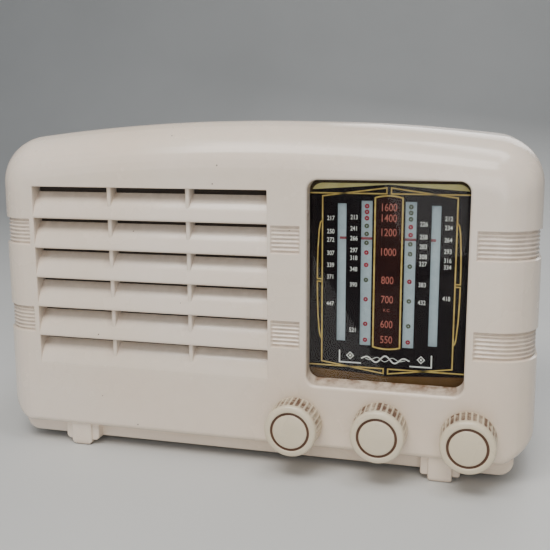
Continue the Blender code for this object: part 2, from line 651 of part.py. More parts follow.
# ---- tuning gang, on the drum axis --------------------------------------
GANG_LEFT, GANG_RIGHT = DRUM_X - 21, DRUM_X + 21
GANG_FRONT, GANG_BACK = -44, -2
GANG_END = 1.6          # thickness of the end plates
gang = boxes("gang_frame", [(GANG_LEFT, GANG_RIGHT, GANG_FRONT, GANG_BACK, ON_DECK, 47.2)],
             ALUMINIUM)
gang_ends = boxes("gang_ends", [(GANG_LEFT, GANG_RIGHT, y, y + GANG_END, 46, DRUM_Z + 16)
                                for y in (GANG_FRONT, GANG_BACK - GANG_END)], cutter=True)
bar = boxes("gang_bar", [(GANG_LEFT, GANG_LEFT + 1.8, GANG_FRONT + 1, GANG_BACK - 1,
                          DRUM_Z - 8, DRUM_Z + 8)], cutter=True)
stators = boxes("gang_stators", [(DRUM_X - 20, DRUM_X - 6, y, y + 1.2, DRUM_Z - 13, DRUM_Z + 13)
                                 for y in (-34, -27, -20, -13)], cutter=True)
gang_bore = rods("gang_bore", [((DRUM_X, -60, DRUM_Z), (DRUM_X, 5, DRUM_Z))], 3.5, cutter=True)
join(gang, gang_ends, bar, stators)
cut(gang, gang_bore)
rotor = turned("gang_rotor", [(0, -57), (SHAFT_R, -57), (SHAFT_R, 0), (0, 0)],
               BRASS, (DRUM_X, 0, DRUM_Z), 20)


def gang_vanes():
    """Discs cut back to just under a half, turned about the shaft."""
    thick = 1.2
    form = bmesh.new()
    for front in (-37.5, -30.5, -23.5, -16.5, -9.5):
        made = add_cylinder(form, 17.5, thick * MM, 20)
        bmesh.ops.translate(form, vec=(0, 0, (front + thick / 2) * MM), verts=made)
    section = bmesh.ops.bisect_plane(form, geom=form.verts[:] + form.edges[:] + form.faces[:],
                                     plane_co=(0, -1.0 * MM, 0), plane_no=(0, -1, 0),
                                     clear_inner=True)
    edges = [e for e in section["geom_cut"] if isinstance(e, bmesh.types.BMEdge)]
    bmesh.ops.holes_fill(form, edges=edges)
    return place("gang_vanes", finish(form, "gang_vanes"), loc=(DRUM_X, 0, DRUM_Z),
                 rot=(-math.pi / 2, math.radians(136), 0), cutter=True)


join(rotor, gang_vanes())

# ---- controls -----------------------------------------------------------
for name, (x, z), rear in (("volume", VOLUME, -24.0), ("tone", TONE, -34.0)):
    turned(f"{name}_control", [
        (0, -47), (3.4, -47), (3.4, -57.5), (4.7, -57.5), (4.7, -48.2), (11.6, -48.2),
        (12.2, -47.5), (12.2, -35.5), (11, rear - 1.0), (10, rear), (0, rear),
    ], STEEL, (x, 0, z), 18)
    turned(f"{name}_shaft", [
        (0, SHAFT_FRONT), (SHAFT_R, SHAFT_FRONT), (SHAFT_R, -47.4), (0, -47.4),
    ], ALUMINIUM, (x, 0, z), 20)
    plate(f"{name}_nut", [circle(x, z, 7.4, 6), circle(x, z, 5.2, 12)], 2.4, -51.6, BRASS)


def knob_flutes(name, loc):
    """Fine grooves round a knob, leaning in with its taper."""
    form = bmesh.new()
    upright = Vector((0, 0, 1))
    lean = upright.rotation_difference(Vector((-0.07, 0, 1))).to_matrix()
    for i in range(FLUTES):
        angle = math.tau * i / FLUTES
        spoke = Vector((math.cos(angle), math.sin(angle), 0))
        turn = Vector((1, 0, 0)).rotation_difference(spoke).to_matrix()
        made = add_cylinder(form, 0.55, KNOB_LENGTH * MM, 5)
        bmesh.ops.rotate(form, matrix=lean, verts=made)
        bmesh.ops.translate(form, vec=((KNOB_R + 0.12) * MM, 0, -KNOB_LENGTH * 0.28 * MM),
                            verts=made)
        bmesh.ops.rotate(form, matrix=turn, verts=made)
    return place(name, finish(form, name), loc=loc, rot=(-math.pi / 2, 0, 0), cutter=True)


def make_knob(name, x, z):
    face = -KNOB_LENGTH
    bore, bore_end = SHAFT_R + GAP, -12.8
    knob = turned(name, [
        (0, face - 0.2), (10.0, face), (10.05, face + 0.7), (11.35, face + 0.7), (11.4, face),
        (14.0, face + 0.2), (KNOB_FACE_R + 0.1, face + 1.6), (KNOB_R, 0),
        (bore, 0), (bore, bore_end), (0, bore_end),
    ], KNOB_MOULDING, (x, KNOB_REAR, z), 30)
    flutes = knob_flutes(name + "_flutes", (x, KNOB_REAR, z))
    boolean(knob, flutes, "DIFFERENCE", solver="MANIFOLD")


for name, (x, z) in zip(("volume_knob", "tuning_knob", "tone_knob"), CONTROLS):
    make_knob(name, x, z)

# ---- chassis: a tray open underneath, with a bolt flange at each end ----
chassis = boxes("chassis", [(-CHASSIS_HALF, CHASSIS_HALF, CHASSIS_FRONT, CHASSIS_REAR,
                             CHASSIS_LOW, DECK)], STEEL)
tray = boxes("chassis_hollow", [(-CHASSIS_HALF + SHEET, CHASSIS_HALF - SHEET,
                                 CHASSIS_FRONT + SHEET, CHASSIS_REAR - SHEET,
                                 CHASSIS_LOW - 5, DECK - SHEET)], cutter=True)
flanges = boxes("chassis_flanges", [
    (left, right, -8, 18, CHASSIS_LOW, CHASSIS_LOW + SHEET)
    for left, right in ((-CHASSIS_HALF + 0.5, -124), (124, CHASSIS_HALF - 0.5))], cutter=True)
deck_holes = rods("valve_holes", [((x, y, DECK - 5), (x, y, DECK + 5)) for x, y in VALVES],
                  9.6, cutter=True, sides=24)
apron_holes = rods("apron_holes", [((x, CHASSIS_FRONT - 5, z), (x, CHASSIS_FRONT + 5, z))
                                   for x, z in CONTROLS], 5.1, cutter=True, sides=16)
flange_holes = rods("flange_holes", [((x, y, CHASSIS_LOW - 5), (x, y, CHASSIS_LOW + 5))
                                     for x, y in CHASSIS_BOLTS], 2.3, cutter=True, sides=12)
cut(chassis, tray)
join(chassis, flanges)
cut(chassis, deck_holes, apron_holes, flange_holes)
for i, (x, y) in enumerate(CHASSIS_BOLTS):
    turned(f"chassis_bolt_{i + 1}", [
        (0, 3.0), (3.2, 3.0), (3.8, 4.0), (3.8, 6.2), (1.9, 6.2), (1.9, 17.5), (0, 17.5),
    ], BRASS, (x, y, 0), 12, along="Z")

# ---- parts on the chassis -----------------------------------------------
for i, (x, y) in enumerate(VALVES):
    turned(f"valve_socket_{i + 1}", [
        (0, 33), (8.6, 33), (9.2, 34), (9.2, 45.3), (12, 45.3), (12, 47.4), (10.8, 48.4), (0, 48.4),
    ], PHENOLIC, (x, y, 0), 16, along="Z")
    turned(f"valve_{i + 1}", [
        (0, 48.8), (8.4, 48.8), (9.4, 50.4), (9.5, 88), (8.4, 93), (4.2, 96.6),
        (1.6, 98), (1.0, 102), (0, 102.6),
    ], VALVE_GLASS, (x, y, 0), 16, along="Z")
for i, x in enumerate((6.0, 38.0)):
    boxes(f"if_can_{i + 1}", [(x - 12, x + 12, -8, 16, ON_DECK, 103)], ALUMINIUM, bevel=2.0)
boxes("mains_transformer", [(96, 134, 12, 54, ON_DECK, 92)], CORE, bevel=1.5)
boxes("mains_transformer_coil", [(101, 129, 2.5, 11.7, 52, 86)], WINDING, bevel=3.0)
turned("filter_capacitor", [(0, ON_DECK), (12.5, ON_DECK), (12.5, 94), (11.5, 96), (0, 96)],
       ALUMINIUM, (80, 34, 0), 24, along="Z")
turned("aerial_coil", [
    (0, ON_DECK), (9, ON_DECK), (9, 47.4), (6.5, 47.4), (6.5, 54), (9, 54), (9, 66),
    (6.5, 66), (6.5, 82), (0, 82),
], WINDING, (-42, 34, 0), 16, along="Z")
turned("dial_lamp", [(0, 0), (3.4, 1.6), (5, 5), (4.6, 8.5), (4.6, 18), (0, 18)],
       VALVE_GLASS, (LAMP_X, -62.4, LAMP_Z), 16)

# ---- rear cover ---------------------------------------------------------
COVER_HALF, COVER_LOW = 146.0, 7.5          # tongue that reaches down over the plinth
rim = outline(100.0, WALL + 0.6, n_top=8)
heights = [z for _, z in rim]
low = min(heights)
corner = heights.index(low)  # the last point of the +X half
rim[corner + 1:corner + 1] = [(COVER_HALF, low), (COVER_HALF, COVER_LOW),
                              (-COVER_HALF, COVER_LOW), (-COVER_HALF, low)]
vents = []
for row in range(4):
    for column in range(6):
        x, z = -100 + column * 40, 84 + row * 21
        vents.append(rounded(x - 12, x + 12, z - 2.5, z + 2.5, 2.0, 1))
LEAD_X, LEAD_Z = -100, 40                   # where the lead leaves the cover
vents += [circle(LEAD_X, LEAD_Z, 5.0, 12), rounded(60, 110, 34, 48, 3, 2)]
vents += [circle(x, z, 1.9, 10) for x, z in COVER_SCREWS]
plate("rear_cover", [rim] + vents, 2.8, 72.2, BOARD)
for i, (x, z) in enumerate(COVER_SCREWS):
    turned(f"cover_screw_{i + 1}", [
        (0, 58), (1.4, 59), (1.4, 73.9), (3.2, 73.9), (2.8, 75.2), (1.6, 75.9), (0, 76.1),
    ], BRASS, (x, 0, z), 12)

# ---- mains lead, coiled in an inward spiral behind the cover ------------
LEAD_R = 3.2
COIL_Y = 80.2
COIL_X, COIL_Z = 2, 104
COIL_REACH_X, COIL_REACH_Z = 92, 50
COIL_TURNS, COIL_STEPS = 2, 24
COIL_CLOSING = 7.4      # loss of radius per turn
PLUG_LEFT, PLUG_RIGHT = -20.0, 22.0
lead = [(LEAD_X, 60.0, LEAD_Z), (LEAD_X, 77.0, LEAD_Z), (-99, COIL_Y, 43)]
for i in range(COIL_TURNS * COIL_STEPS + 1):
    angle = math.radians(215 + 360 * i / COIL_STEPS)
    drawn = COIL_CLOSING * i / COIL_STEPS
    lead.append((COIL_X + (COIL_REACH_X - drawn) * math.cos(angle), COIL_Y,
                 COIL_Z + (COIL_REACH_Z - drawn) * math.sin(angle)))
lead += [(-44, 80.6, 88), (-34, 83.0, 98), (-27, 84.2, 103), (PLUG_LEFT - 0.5, 84.2, 104)]
wire("mains_lead", lead, LEAD_R, BRAID, resolution=2)

plug = boxes("mains_plug", [(PLUG_LEFT, PLUG_RIGHT, 75.2, 92.8, 87, 121)], PLUG_MOULDING, bevel=4.0)
plug_blades = boxes("plug_blades", [(PLUG_RIGHT - 2, PLUG_RIGHT + 17, 83.2, 84.8, z, z + 5.5)
                                    for z in (96, 106.5)], cutter=True)
join(plug, plug_blades)
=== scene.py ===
"""A table radio: ivory moulded cabinet with a grille, a dial window, three knobs,
a fibre rear cover, and a coiled lead with its plug.

It stands on z = 0, centred on x = 0, with its front face towards -Y and +X to the right
as seen from the front. Sizes are in millimetres; the helpers scale them to metres.
"""
from math import atan2, cos, hypot, pi, radians, sin, sqrt, tau

import bmesh
import bpy
from mathutils import Matrix, Vector


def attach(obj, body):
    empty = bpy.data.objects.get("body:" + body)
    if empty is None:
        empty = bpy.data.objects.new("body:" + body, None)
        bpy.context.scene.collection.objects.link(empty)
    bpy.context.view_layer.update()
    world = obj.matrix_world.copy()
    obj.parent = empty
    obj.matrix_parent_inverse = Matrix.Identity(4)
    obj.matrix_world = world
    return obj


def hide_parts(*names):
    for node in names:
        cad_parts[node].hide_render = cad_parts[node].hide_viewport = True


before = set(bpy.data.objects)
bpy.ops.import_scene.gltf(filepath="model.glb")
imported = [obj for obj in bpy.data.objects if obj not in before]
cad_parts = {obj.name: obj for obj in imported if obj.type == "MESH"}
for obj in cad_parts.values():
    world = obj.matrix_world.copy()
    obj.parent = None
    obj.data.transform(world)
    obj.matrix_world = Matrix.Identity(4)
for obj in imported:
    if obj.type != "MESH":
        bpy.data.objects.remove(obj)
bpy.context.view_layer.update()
MM = 0.001

# ---- sizes shared with the CAD ------------------------------------------
WIDTH = 331.0
HEIGHT = 203.6
FRONT, REAR = -75.0, 75.0
WALL = 4.0
CROWN = 4.4e-4               # fall of the top per square of x
LEAN = 6.4e-5                # share by which the sides draw in per mm of height
LEAN_FROM = 30.0             # height where the draw is nil
ROLL_TOP, ROLL_SIDE, ROLL_LOW = 30.0, 24.0, 4.0   # radii round the front face
CORNER_TOP, CORNER_LOW = 26.0, 17.0               # corner radii seen from the front
BODY_BASE, PLINTH_BASE, DECK = 13.8, 3.8, 6.5     # heights
OPEN_HALF = 147.0            # half width of the opening in the underside
PLINTH_HALF, PLINTH_FRONT = 155.0, -64.5
FOOT_X = (-111.0, 114.5)
FOOT_FRONT = -72.6
GRILLE_LEFT, GRILLE_RIGHT = -135.1, 13.7
GRILLE_LOW, GRILLE_TOP = 53.5, 164.9
BLADES = 6
BLADE_PITCH = (GRILLE_TOP - GRILLE_LOW) / BLADES
WEBS = (-85.1, -35.0)
WIN_LEFT, WIN_RIGHT = 36.9, 125.9
WIN_LOW, WIN_TOP = 54.8, 171.1
WIN_RADIUS = 6.0
SILL_DROP = 3.0
BANDS = ((73.3, 89.9), (128.6, 145.2))            # bottom and top of the ribbed bands
RIB_PITCH = (BANDS[0][1] - BANDS[0][0]) / 7
# name, x, z, phase of the grime patches
KNOBS = (("volume", 31.2, 29.6, 0.0), ("tuning", 80.6, 30.7, 2.1), ("tone", 129.7, 29.6, 4.4))
KNOB_BACK, KNOB_HEIGHT, KNOB_RADIUS = -77.0, 15.6, 15.7
DIAL_X = 81.3


# ---- node material helpers ----------------------------------------------
def srgb(*channels):
    """Linear colour from 0-255 display values."""
    def linear(value):
        value /= 255.0
        return value / 12.92 if value <= 0.04045 else ((value + 0.055) / 1.055) ** 2.4
    return tuple(linear(value) for value in channels) + (1.0,)


def darker(color, share):
    return tuple(value * share for value in color[:3]) + (1.0,)


SOCKETS = {
    "color": "Base Color", "rough": "Roughness", "metal": "Metallic", "coat": "Coat Weight",
    "coat_rough": "Coat Roughness", "sss": "Subsurface Weight",
    "sss_radius": "Subsurface Radius", "sss_scale": "Subsurface Scale",
    "sheen": "Sheen Weight", "spec": "Specular IOR Level", "emit": "Emission Color",
    "emit_power": "Emission Strength"}


class Tree:
    """A new material and short ways to add nodes to it."""

    def __init__(self, name):
        self.mat = bpy.data.materials.new(name)
        self.mat.use_nodes = True
        self.nodes = self.mat.node_tree.nodes
        self.bsdf = self.nodes["Principled BSDF"]
        self.out = self.nodes["Material Output"]
        self.coord = self.new("ShaderNodeTexCoord").outputs["Object"]

    def new(self, kind, **props):
        node = self.nodes.new(kind)
        for key, value in props.items():
            setattr(node, key, value)
        return node

    def link(self, source, target):
        self.mat.node_tree.links.new(source, target)

    def feed(self, socket, value):
        """Sets a socket to a plain value, or links an output to it."""
        if isinstance(value, (int, float, tuple)):
            socket.default_value = value
        else:
            self.link(value, socket)

    def noise(self, scale, detail=3.0, rough=0.5, stretch=None):
        node = self.new("ShaderNodeTexNoise")
        node.inputs["Scale"].default_value = scale
        node.inputs["Detail"].default_value = detail
        node.inputs["Roughness"].default_value = rough
        source = self.coord
        if stretch:
            mapping = self.new("ShaderNodeMapping")
            mapping.inputs["Scale"].default_value = stretch
            self.link(source, mapping.inputs["Vector"])
            source = mapping.outputs["Vector"]
        self.link(source, node.inputs["Vector"])
        return node.outputs["Fac"]

    def wave(self, scale, distortion, axis):
        node = self.new("ShaderNodeTexWave", wave_type="BANDS", bands_direction=axis)
        node.inputs["Scale"].default_value = scale
        node.inputs["Distortion"].default_value = distortion
        self.link(self.coord, node.inputs["Vector"])
        return node.outputs["Fac"]

    def ramp(self, value, span=(0.3, 0.7), to=(0.0, 1.0)):
        """Maps the span of a value to another range."""
        node = self.new("ShaderNodeMapRange")
        for end, low_high in (("From", span), ("To", to)):
            node.inputs[end + " Min"].default_value = low_high[0]
            node.inputs[end + " Max"].default_value = low_high[1]
        self.link(value, node.inputs["Value"])
        return node.outputs["Result"]

    def calc(self, operation, first, second):
        node = self.new("ShaderNodeMath", operation=operation)
        self.feed(node.inputs[0], first)
        self.feed(node.inputs[1], second)
        return node.outputs[0]

    def mix(self, factor, first, second):
        """Colour mix; the colour sockets are inputs 6 and 7 and output 2."""
        node = self.new("ShaderNodeMix", data_type="RGBA")
        for index, value in ((0, factor), (6, first), (7, second)):
            self.feed(node.inputs[index], value)
        return node.outputs[2]

    def bump(self, height, strength, distance):
        node = self.new("ShaderNodeBump")
        node.inputs["Strength"].default_value = strength
        node.inputs["Distance"].default_value = distance
        self.link(height, node.inputs["Height"])
        self.link(node.outputs["Normal"], self.bsdf.inputs["Normal"])

    def set(self, **values):
        for key, value in values.items():
            self.feed(self.bsdf.inputs[SOCKETS[key]], value)

    def see_through(self, factor, surface, tint=(1, 1, 1, 1)):
        """Replaces the standard shader by a blend from clear to the given surface."""
        self.nodes.remove(self.bsdf)
        passing = self.new("ShaderNodeBsdfTransparent")
        passing.inputs["Color"].default_value = tint
        blend = self.new("ShaderNodeMixShader")
        self.feed(blend.inputs[0], factor)
        self.link(passing.outputs[0], blend.inputs[1])
        self.link(surface.outputs[0], blend.inputs[2])
        self.link(blend.outputs[0], self.out.inputs["Surface"])


# ---- materials ----------------------------------------------------------
def moulding(name, base, warm, grime, rough=0.24, specks=True):
    """Aged glossy moulding: slow yellowing, mottling, dark specks, and stain and painted shade by
    attribute.
    """
    tree = Tree(name)
    yellowing = tree.ramp(tree.noise(scale=9, detail=2), span=(0.35, 0.65))
    color = tree.mix(tree.calc("MULTIPLY", yellowing, 0.65), base, warm)
    mottle = tree.ramp(tree.noise(scale=120, detail=4, rough=0.6), to=(0.0, 0.10))
    color = tree.mix(mottle, color, darker(warm, 0.72))
    if specks:
        speck_radius, cells_without, strength = 0.035, 0.45, 0.8
        cell = tree.new("ShaderNodeTexVoronoi")
        cell.inputs["Scale"].default_value = 75
        tree.link(tree.coord, cell.inputs["Vector"])
        near = tree.calc("LESS_THAN", cell.outputs["Distance"], speck_radius)
        pick = tree.new("ShaderNodeSeparateColor")
        tree.link(cell.outputs["Color"], pick.inputs["Color"])
        few = tree.calc("GREATER_THAN", pick.outputs[0], cells_without)
        spots = tree.calc("MULTIPLY", tree.calc("MULTIPLY", near, few), strength)
        color = tree.mix(spots, color, srgb(70, 48, 34))
    # the attribute holds real stain on some pieces and painted shade on others
    painted = tree.new("ShaderNodeAttribute", attribute_name="grime").outputs["Fac"]
    cloud = tree.ramp(tree.noise(scale=160, detail=5, rough=0.65), span=(0.36, 0.62))
    least, clouded = 0.45, 0.8      # even share of the stain and painted shade, and the share that clouds vary
    patchy = tree.calc("ADD", least, tree.calc("MULTIPLY", cloud, clouded))
    clamp = tree.new("ShaderNodeClamp")
    tree.link(tree.calc("MULTIPLY", painted, patchy), clamp.inputs[0])
    dirt_and_shade = clamp.outputs[0]
    color = tree.mix(dirt_and_shade, color, grime)
    gloss = tree.ramp(tree.noise(scale=35, detail=3), to=(rough - 0.05, rough + 0.07))
    dirt_and_shade_rough = tree.calc("MULTIPLY", dirt_and_shade, 0.35)
    tree.set(color=color, rough=tree.calc("ADD", gloss, dirt_and_shade_rough), coat=0.25,
             coat_rough=0.12, sss=0.06, sss_radius=(0.003, 0.002, 0.0012), sss_scale=1.0)
    tree.bump(tree.noise(scale=55, detail=2), strength=0.10, distance=0.0006)
    return tree.mat


def printed(name, base, other, rough=0.5, metal=0.0, scale=300, emit=0.0, spec=0.1):
    """Flat coat that wanders between two colours; a non-zero emit gives it a painted glow."""
    tree = Tree(name)
    color = tree.mix(tree.ramp(tree.noise(scale, detail=4)), base, other)
    gloss = tree.ramp(tree.noise(scale * 1.3, detail=2), to=(rough - 0.06, rough + 0.06))
    tree.set(color=color, rough=gloss, metal=metal, spec=spec)
    if emit:
        tree.set(emit=color, emit_power=emit)
    return tree.mat


def metal(name, base, rough, stretch, metallic=1.0):
    """Grained metal with darker stains; the grain is fine along the stretched axes."""
    tree = Tree(name)
    grain = tree.noise(scale=180, detail=3, rough=0.6, stretch=stretch)
    color = tree.mix(tree.ramp(grain, to=(0, 0.5)), base, darker(base, 0.75))
    stain = tree.noise(scale=28, detail=5, rough=0.7)
    color = tree.mix(tree.ramp(stain, span=(0.52, 0.72), to=(0, 0.45)), color,
                     darker(base, 0.55))
    tree.set(color=color, rough=tree.ramp(grain, to=(rough - 0.06, rough + 0.10)),
             metal=metallic)
    tree.bump(grain, strength=0.12, distance=0.0002)
    return tree.mat


def woven(name, low, high, scale):
    """Cloth crossed by threads along X and Z."""
    tree = Tree(name)
    threads = [tree.wave(scale, distortion=0.3, axis=axis) for axis in "XZ"]
    weave = tree.calc("MULTIPLY", *threads)
    color = tree.mix(tree.ramp(weave, span=(0.1, 0.7)), low, high)
    tree.set(color=color, rough=0.9, sheen=0.3)
    tree.bump(weave, strength=0.6, distance=0.0004)
    return tree.mat


def fibre():
    tree = Tree("fibre_board")
    fibres = tree.noise(scale=420, detail=5, rough=0.7, stretch=(1, 1, 3))
    color = tree.mix(tree.ramp(fibres), srgb(92, 60, 38), srgb(132, 92, 58))
    blotch = tree.noise(scale=18, detail=4, rough=0.6)
    color = tree.mix(tree.ramp(blotch, span=(0.5, 0.75), to=(0, 0.55)), color,
                     srgb(58, 36, 24))
    tree.set(color=color, rough=tree.ramp(fibres, to=(0.62, 0.88)))
    tree.bump(fibres, strength=0.35, distance=0.0003)
    return tree.mat


def clear(name, tint, reflection):
    """Thin clear pane with a reflection that grows at low angles."""
    tree = Tree(name)
    gloss = tree.new("ShaderNodeBsdfGlossy")
    smear = tree.ramp(tree.noise(scale=40, detail=3), span=(0.35, 0.65), to=(0.02, 0.05))
    tree.link(smear, gloss.inputs["Roughness"])
    fresnel = tree.new("ShaderNodeFresnel")
    fresnel.inputs["IOR"].default_value = 1.5
    tree.see_through(tree.calc("MULTIPLY", fresnel.outputs[0], reflection), gloss, tint)
    return tree.mat


def film():
    """Pale ink, almost clear, which lets the pointer show."""
    tree = Tree("strip_film")
    color = tree.mix(tree.ramp(tree.noise(scale=60, detail=3)),
                     srgb(196, 212, 220), srgb(172, 190, 200))
    ink = tree.new("ShaderNodeBsdfDiffuse")
    tree.link(color, ink.inputs["Color"])
    tree.see_through(factor=0.06, surface=ink)
    return tree.mat


IVORY = moulding("ivory_moulding", srgb(234, 220, 204), srgb(228, 208, 184),
                 srgb(112, 78, 48))
KNOB = moulding("knob_moulding", srgb(224, 212, 190), srgb(218, 202, 170),
                srgb(92, 60, 40), rough=0.27, specks=False)
BLACK = printed("print_black", (0.006, 0.004, 0.005, 1), (0.012, 0.007, 0.008, 1), spec=0.0)
GOLD_TOP = printed("print_gold", srgb(222, 212, 150), srgb(204, 190, 122),
                   rough=0.42, metal=0.1, scale=120)
# painted reflection: the same gold print as the top band, darkened to brown to show the tan sill
# mirrored in it
GOLD_SILL_REFLECTION = printed("print_gold_sill_reflection", srgb(112, 82, 44), srgb(86, 58, 28),
                   rough=0.48, metal=0.1, scale=60)
LINE = printed("print_gold_line", srgb(224, 198, 118), srgb(190, 158, 84),
               rough=0.4, metal=0.1, scale=260)
WHITE = printed("print_white", srgb(244, 244, 240), srgb(226, 226, 222))
DIGIT = printed("print_scale_figures", srgb(196, 118, 104), srgb(164, 92, 82))
UMBER = printed("print_umber", (0.022, 0.007, 0.006, 1), (0.034, 0.011, 0.009, 1), spec=0.0)
# painted shadow of the window's top lip on the gold band
PAINTED_LIP_SHADOW = printed("painted_lip_shadow", (0.045, 0.028, 0.012, 1), (0.070, 0.045, 0.020, 1), spec=0.0)
RED = printed("print_red", srgb(168, 60, 74), srgb(140, 46, 60))
GREEN = printed("print_green", srgb(98, 104, 84), srgb(78, 86, 66))
STEEL = metal("plated_steel", (0.52, 0.51, 0.49, 1), rough=0.36, stretch=(1, 30, 1))
ALU = metal("aluminium_can", (0.70, 0.71, 0.72, 1), rough=0.38, stretch=(1, 1, 30))
BRASS = metal("turned_brass", (0.66, 0.48, 0.21, 1), rough=0.34, stretch=(30, 1, 30))
CORE = metal("varnished_core", (0.06, 0.055, 0.05, 1), rough=0.42, stretch=(1, 40, 1),
             metallic=0.5)
CLOTH = woven("grille_cloth", (0.030, 0.019, 0.012, 1), (0.100, 0.066, 0.040, 1), scale=1400)
BRAID = woven("lead_braid", srgb(52, 34, 22), srgb(112, 80, 52), scale=900)
CORD = woven("waxed_cord", srgb(150, 126, 80), srgb(196, 170, 118), scale=2600)
CONE = printed("cone_paper", (0.030, 0.028, 0.026, 1), (0.055, 0.050, 0.045, 1),
               rough=0.95, scale=900, spec=0.5)
WRAP = printed("winding_wrap", srgb(178, 138, 66), srgb(140, 96, 40),
               rough=0.55, scale=160, spec=0.5)
PHENOL = moulding("phenolic_brown", srgb(52, 30, 20), srgb(34, 19, 12), srgb(90, 76, 60),
                  rough=0.34, specks=False)
PLUG = moulding("plug_moulding", srgb(40, 28, 22), srgb(24, 16, 12), srgb(90, 80, 66),
                rough=0.26, specks=False)
# painted glow: the plate gives off a little light so it shows pale through the strips, though no
# lamp lights it
REFLECTOR_GLOW = printed("reflector_enamel_painted_glow", srgb(194, 210, 218), srgb(180, 197, 206),
                  rough=0.6, emit=0.18, spec=0.5)
# painted glow: the pointer gives off a little light so it shows behind the strips, though no lamp
# lights it
POINTER_GLOW = printed("pointer_enamel", srgb(150, 20, 40), srgb(116, 10, 28),
                  rough=0.35, emit=0.12, spec=0.5)
FIBRE = fibre()
PANE = clear("dial_pane", tint=(0.97, 0.98, 0.97, 1), reflection=0.32)
VALVE = clear("valve_envelope", tint=(0.80, 0.84, 0.84, 1), reflection=1.6)
FILM = film()


# ---- mesh helpers -------------------------------------------------------
def add_object(name, data):
    obj = bpy.data.objects.new(name, data)
    bpy.context.scene.collection.objects.link(obj)
    return obj


def put(name, mesh, material, body="root", sharp=None, weight=0, bevel=0.0,
        replaces=None):
    """Adds a finished piece; weight turns on weighted normals, sharp is in degrees."""
    obj = add_object(name, mesh)
    mesh.name = name
    mesh.materials.clear()
    mesh.materials.append(material)
    if sharp is not None:
        mesh.shade_smooth()
        mesh.set_sharp_from_angle(angle=radians(sharp))
    if bevel:
        mod = obj.modifiers.new("edges", "BEVEL")
        mod.width = bevel * MM
        mod.segments = 3
        mod.limit_method = "ANGLE"
        mod.angle_limit = radians(35)
    if weight:
        mod = obj.modifiers.new("normals", "WEIGHTED_NORMAL")
        mod.keep_sharp = True
        mod.weight = weight
    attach(obj, body)
    if replaces:
        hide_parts(replaces)
    return obj


def to_mesh(build, outward=True):
    if outward:
        bmesh.ops.recalc_face_normals(build, faces=build.faces)
    mesh = bpy.data.meshes.new("piece")
    build.to_mesh(mesh)
    build.free()
    return mesh


def merge(meshes):
    build = bmesh.new()
    for mesh in meshes:
        build.from_mesh(mesh)
    return to_mesh(build, outward=False)


def loft(rings):
    """Closed rings of points joined in order and capped at both ends."""
    build = bmesh.new()
    rows = [[build.verts.new((x * MM, y * MM, z * MM)) for x, y, z in ring] for ring in rings]
    count = len(rows[0])
    for near, far in zip(rows, rows[1:]):
        for i in range(count):
            j = (i + 1) % count
            build.faces.new((near[i], near[j], far[j], far[i]))
    build.faces.new(rows[0])
    build.faces.new(rows[-1])
    return to_mesh(build)


def evaluated(obj):
    """A new mesh of an object with its modifiers applied."""
    bpy.context.view_layer.update()
    graph = bpy.context.evaluated_depsgraph_get()
    return bpy.data.meshes.new_from_object(obj.evaluated_get(graph))


def stand_up(curve, location, squeeze=1.0):
    """Mesh of a flat curve, stood up in the XZ plane."""
    obj = add_object("curve", curve)
    obj.scale = (squeeze, 1, 1)
    obj.rotation_euler = (pi / 2, 0, 0)
    obj.location = location
    mesh = evaluated(obj)
    mesh.transform(obj.matrix_world)
    bpy.data.objects.remove(obj, do_unlink=True)
    return mesh


def prism(outlines, y0, y1):
    """A flat plate in the XZ plane between two depths, with holes."""
    curve = bpy.data.curves.new("plate", "CURVE")
    curve.dimensions = "2D"
    curve.fill_mode = "BOTH"
    curve.extrude = abs(y1 - y0) / 2 * MM
    for points in outlines:
        spline = curve.splines.new("POLY")
        spline.points.add(len(points) - 1)
        for point, (x, z) in zip(spline.points, points):
            point.co = (x * MM, z * MM, 0, 1)
        spline.use_cyclic_u = True
    build = bmesh.new()
    build.from_mesh(stand_up(curve, (0, (y0 + y1) / 2 * MM, 0)))
    bmesh.ops.remove_doubles(build, verts=build.verts, dist=0.000001)
    return to_mesh(build)


def lathe(profile, centre, steps, swell=None, along="Y"):
    """Turns (radius, distance along axis) pairs; swell may change the radius."""
    build = bmesh.new()
    mid_x, mid_y, mid_z = centre

    def vert(radius, distance, angle):
        first, second = radius * cos(angle), radius * sin(angle)
        if along == "Y":
            point = (mid_x + first, mid_y + distance, mid_z + second)
        else:
            point = (mid_x + first, mid_y + second, mid_z + distance)
        return build.verts.new(Vector(point) * MM)

    rows = []
    for radius, distance in profile:
        if radius < 1e-6:
            rows.append([vert(0.0, distance, 0.0)])
            continue
        row = []
        for i in range(steps):
            angle = tau * i / steps
            swollen = swell(angle, radius, distance) if swell else radius
            row.append(vert(swollen, distance, angle))
        rows.append(row)
    for near, far in zip(rows, rows[1:]):
        for i in range(steps):
            j = (i + 1) % steps
            if len(near) == 1:
                build.faces.new((near[0], far[i], far[j]))
            elif len(far) == 1:
                build.faces.new((near[i], near[j], far[0]))
            else:
                build.faces.new((near[i], near[j], far[j], far[i]))
    return to_mesh(build)


def carve(mesh, cutters, operation="DIFFERENCE"):
    """Exact Booleans, applied one after another."""
    stock = add_object("stock", mesh)
    for cutter in cutters:
        tool = add_object("tool", cutter)
        mod = stock.modifiers.new("cut", "BOOLEAN")
        mod.object = tool
        mod.operation = operation
        mod.solver = "EXACT"
        mesh = evaluated(stock)
        stock.modifiers.clear()
        stock.data = mesh
        bpy.data.objects.remove(tool, do_unlink=True)
    bpy.data.objects.remove(stock, do_unlink=True)
    return mesh


def paint(mesh, amount):
    """Stores amount(x, y, z), taken in millimetres, as the grime attribute, which holds real stain
    and painted shade alike.
    """
    attribute = mesh.attributes.new("grime", "FLOAT", "POINT")
    values = [float(amount(*(axis * 1000 for axis in vert.co))) for vert in mesh.vertices]
    attribute.data.foreach_set("value", values)


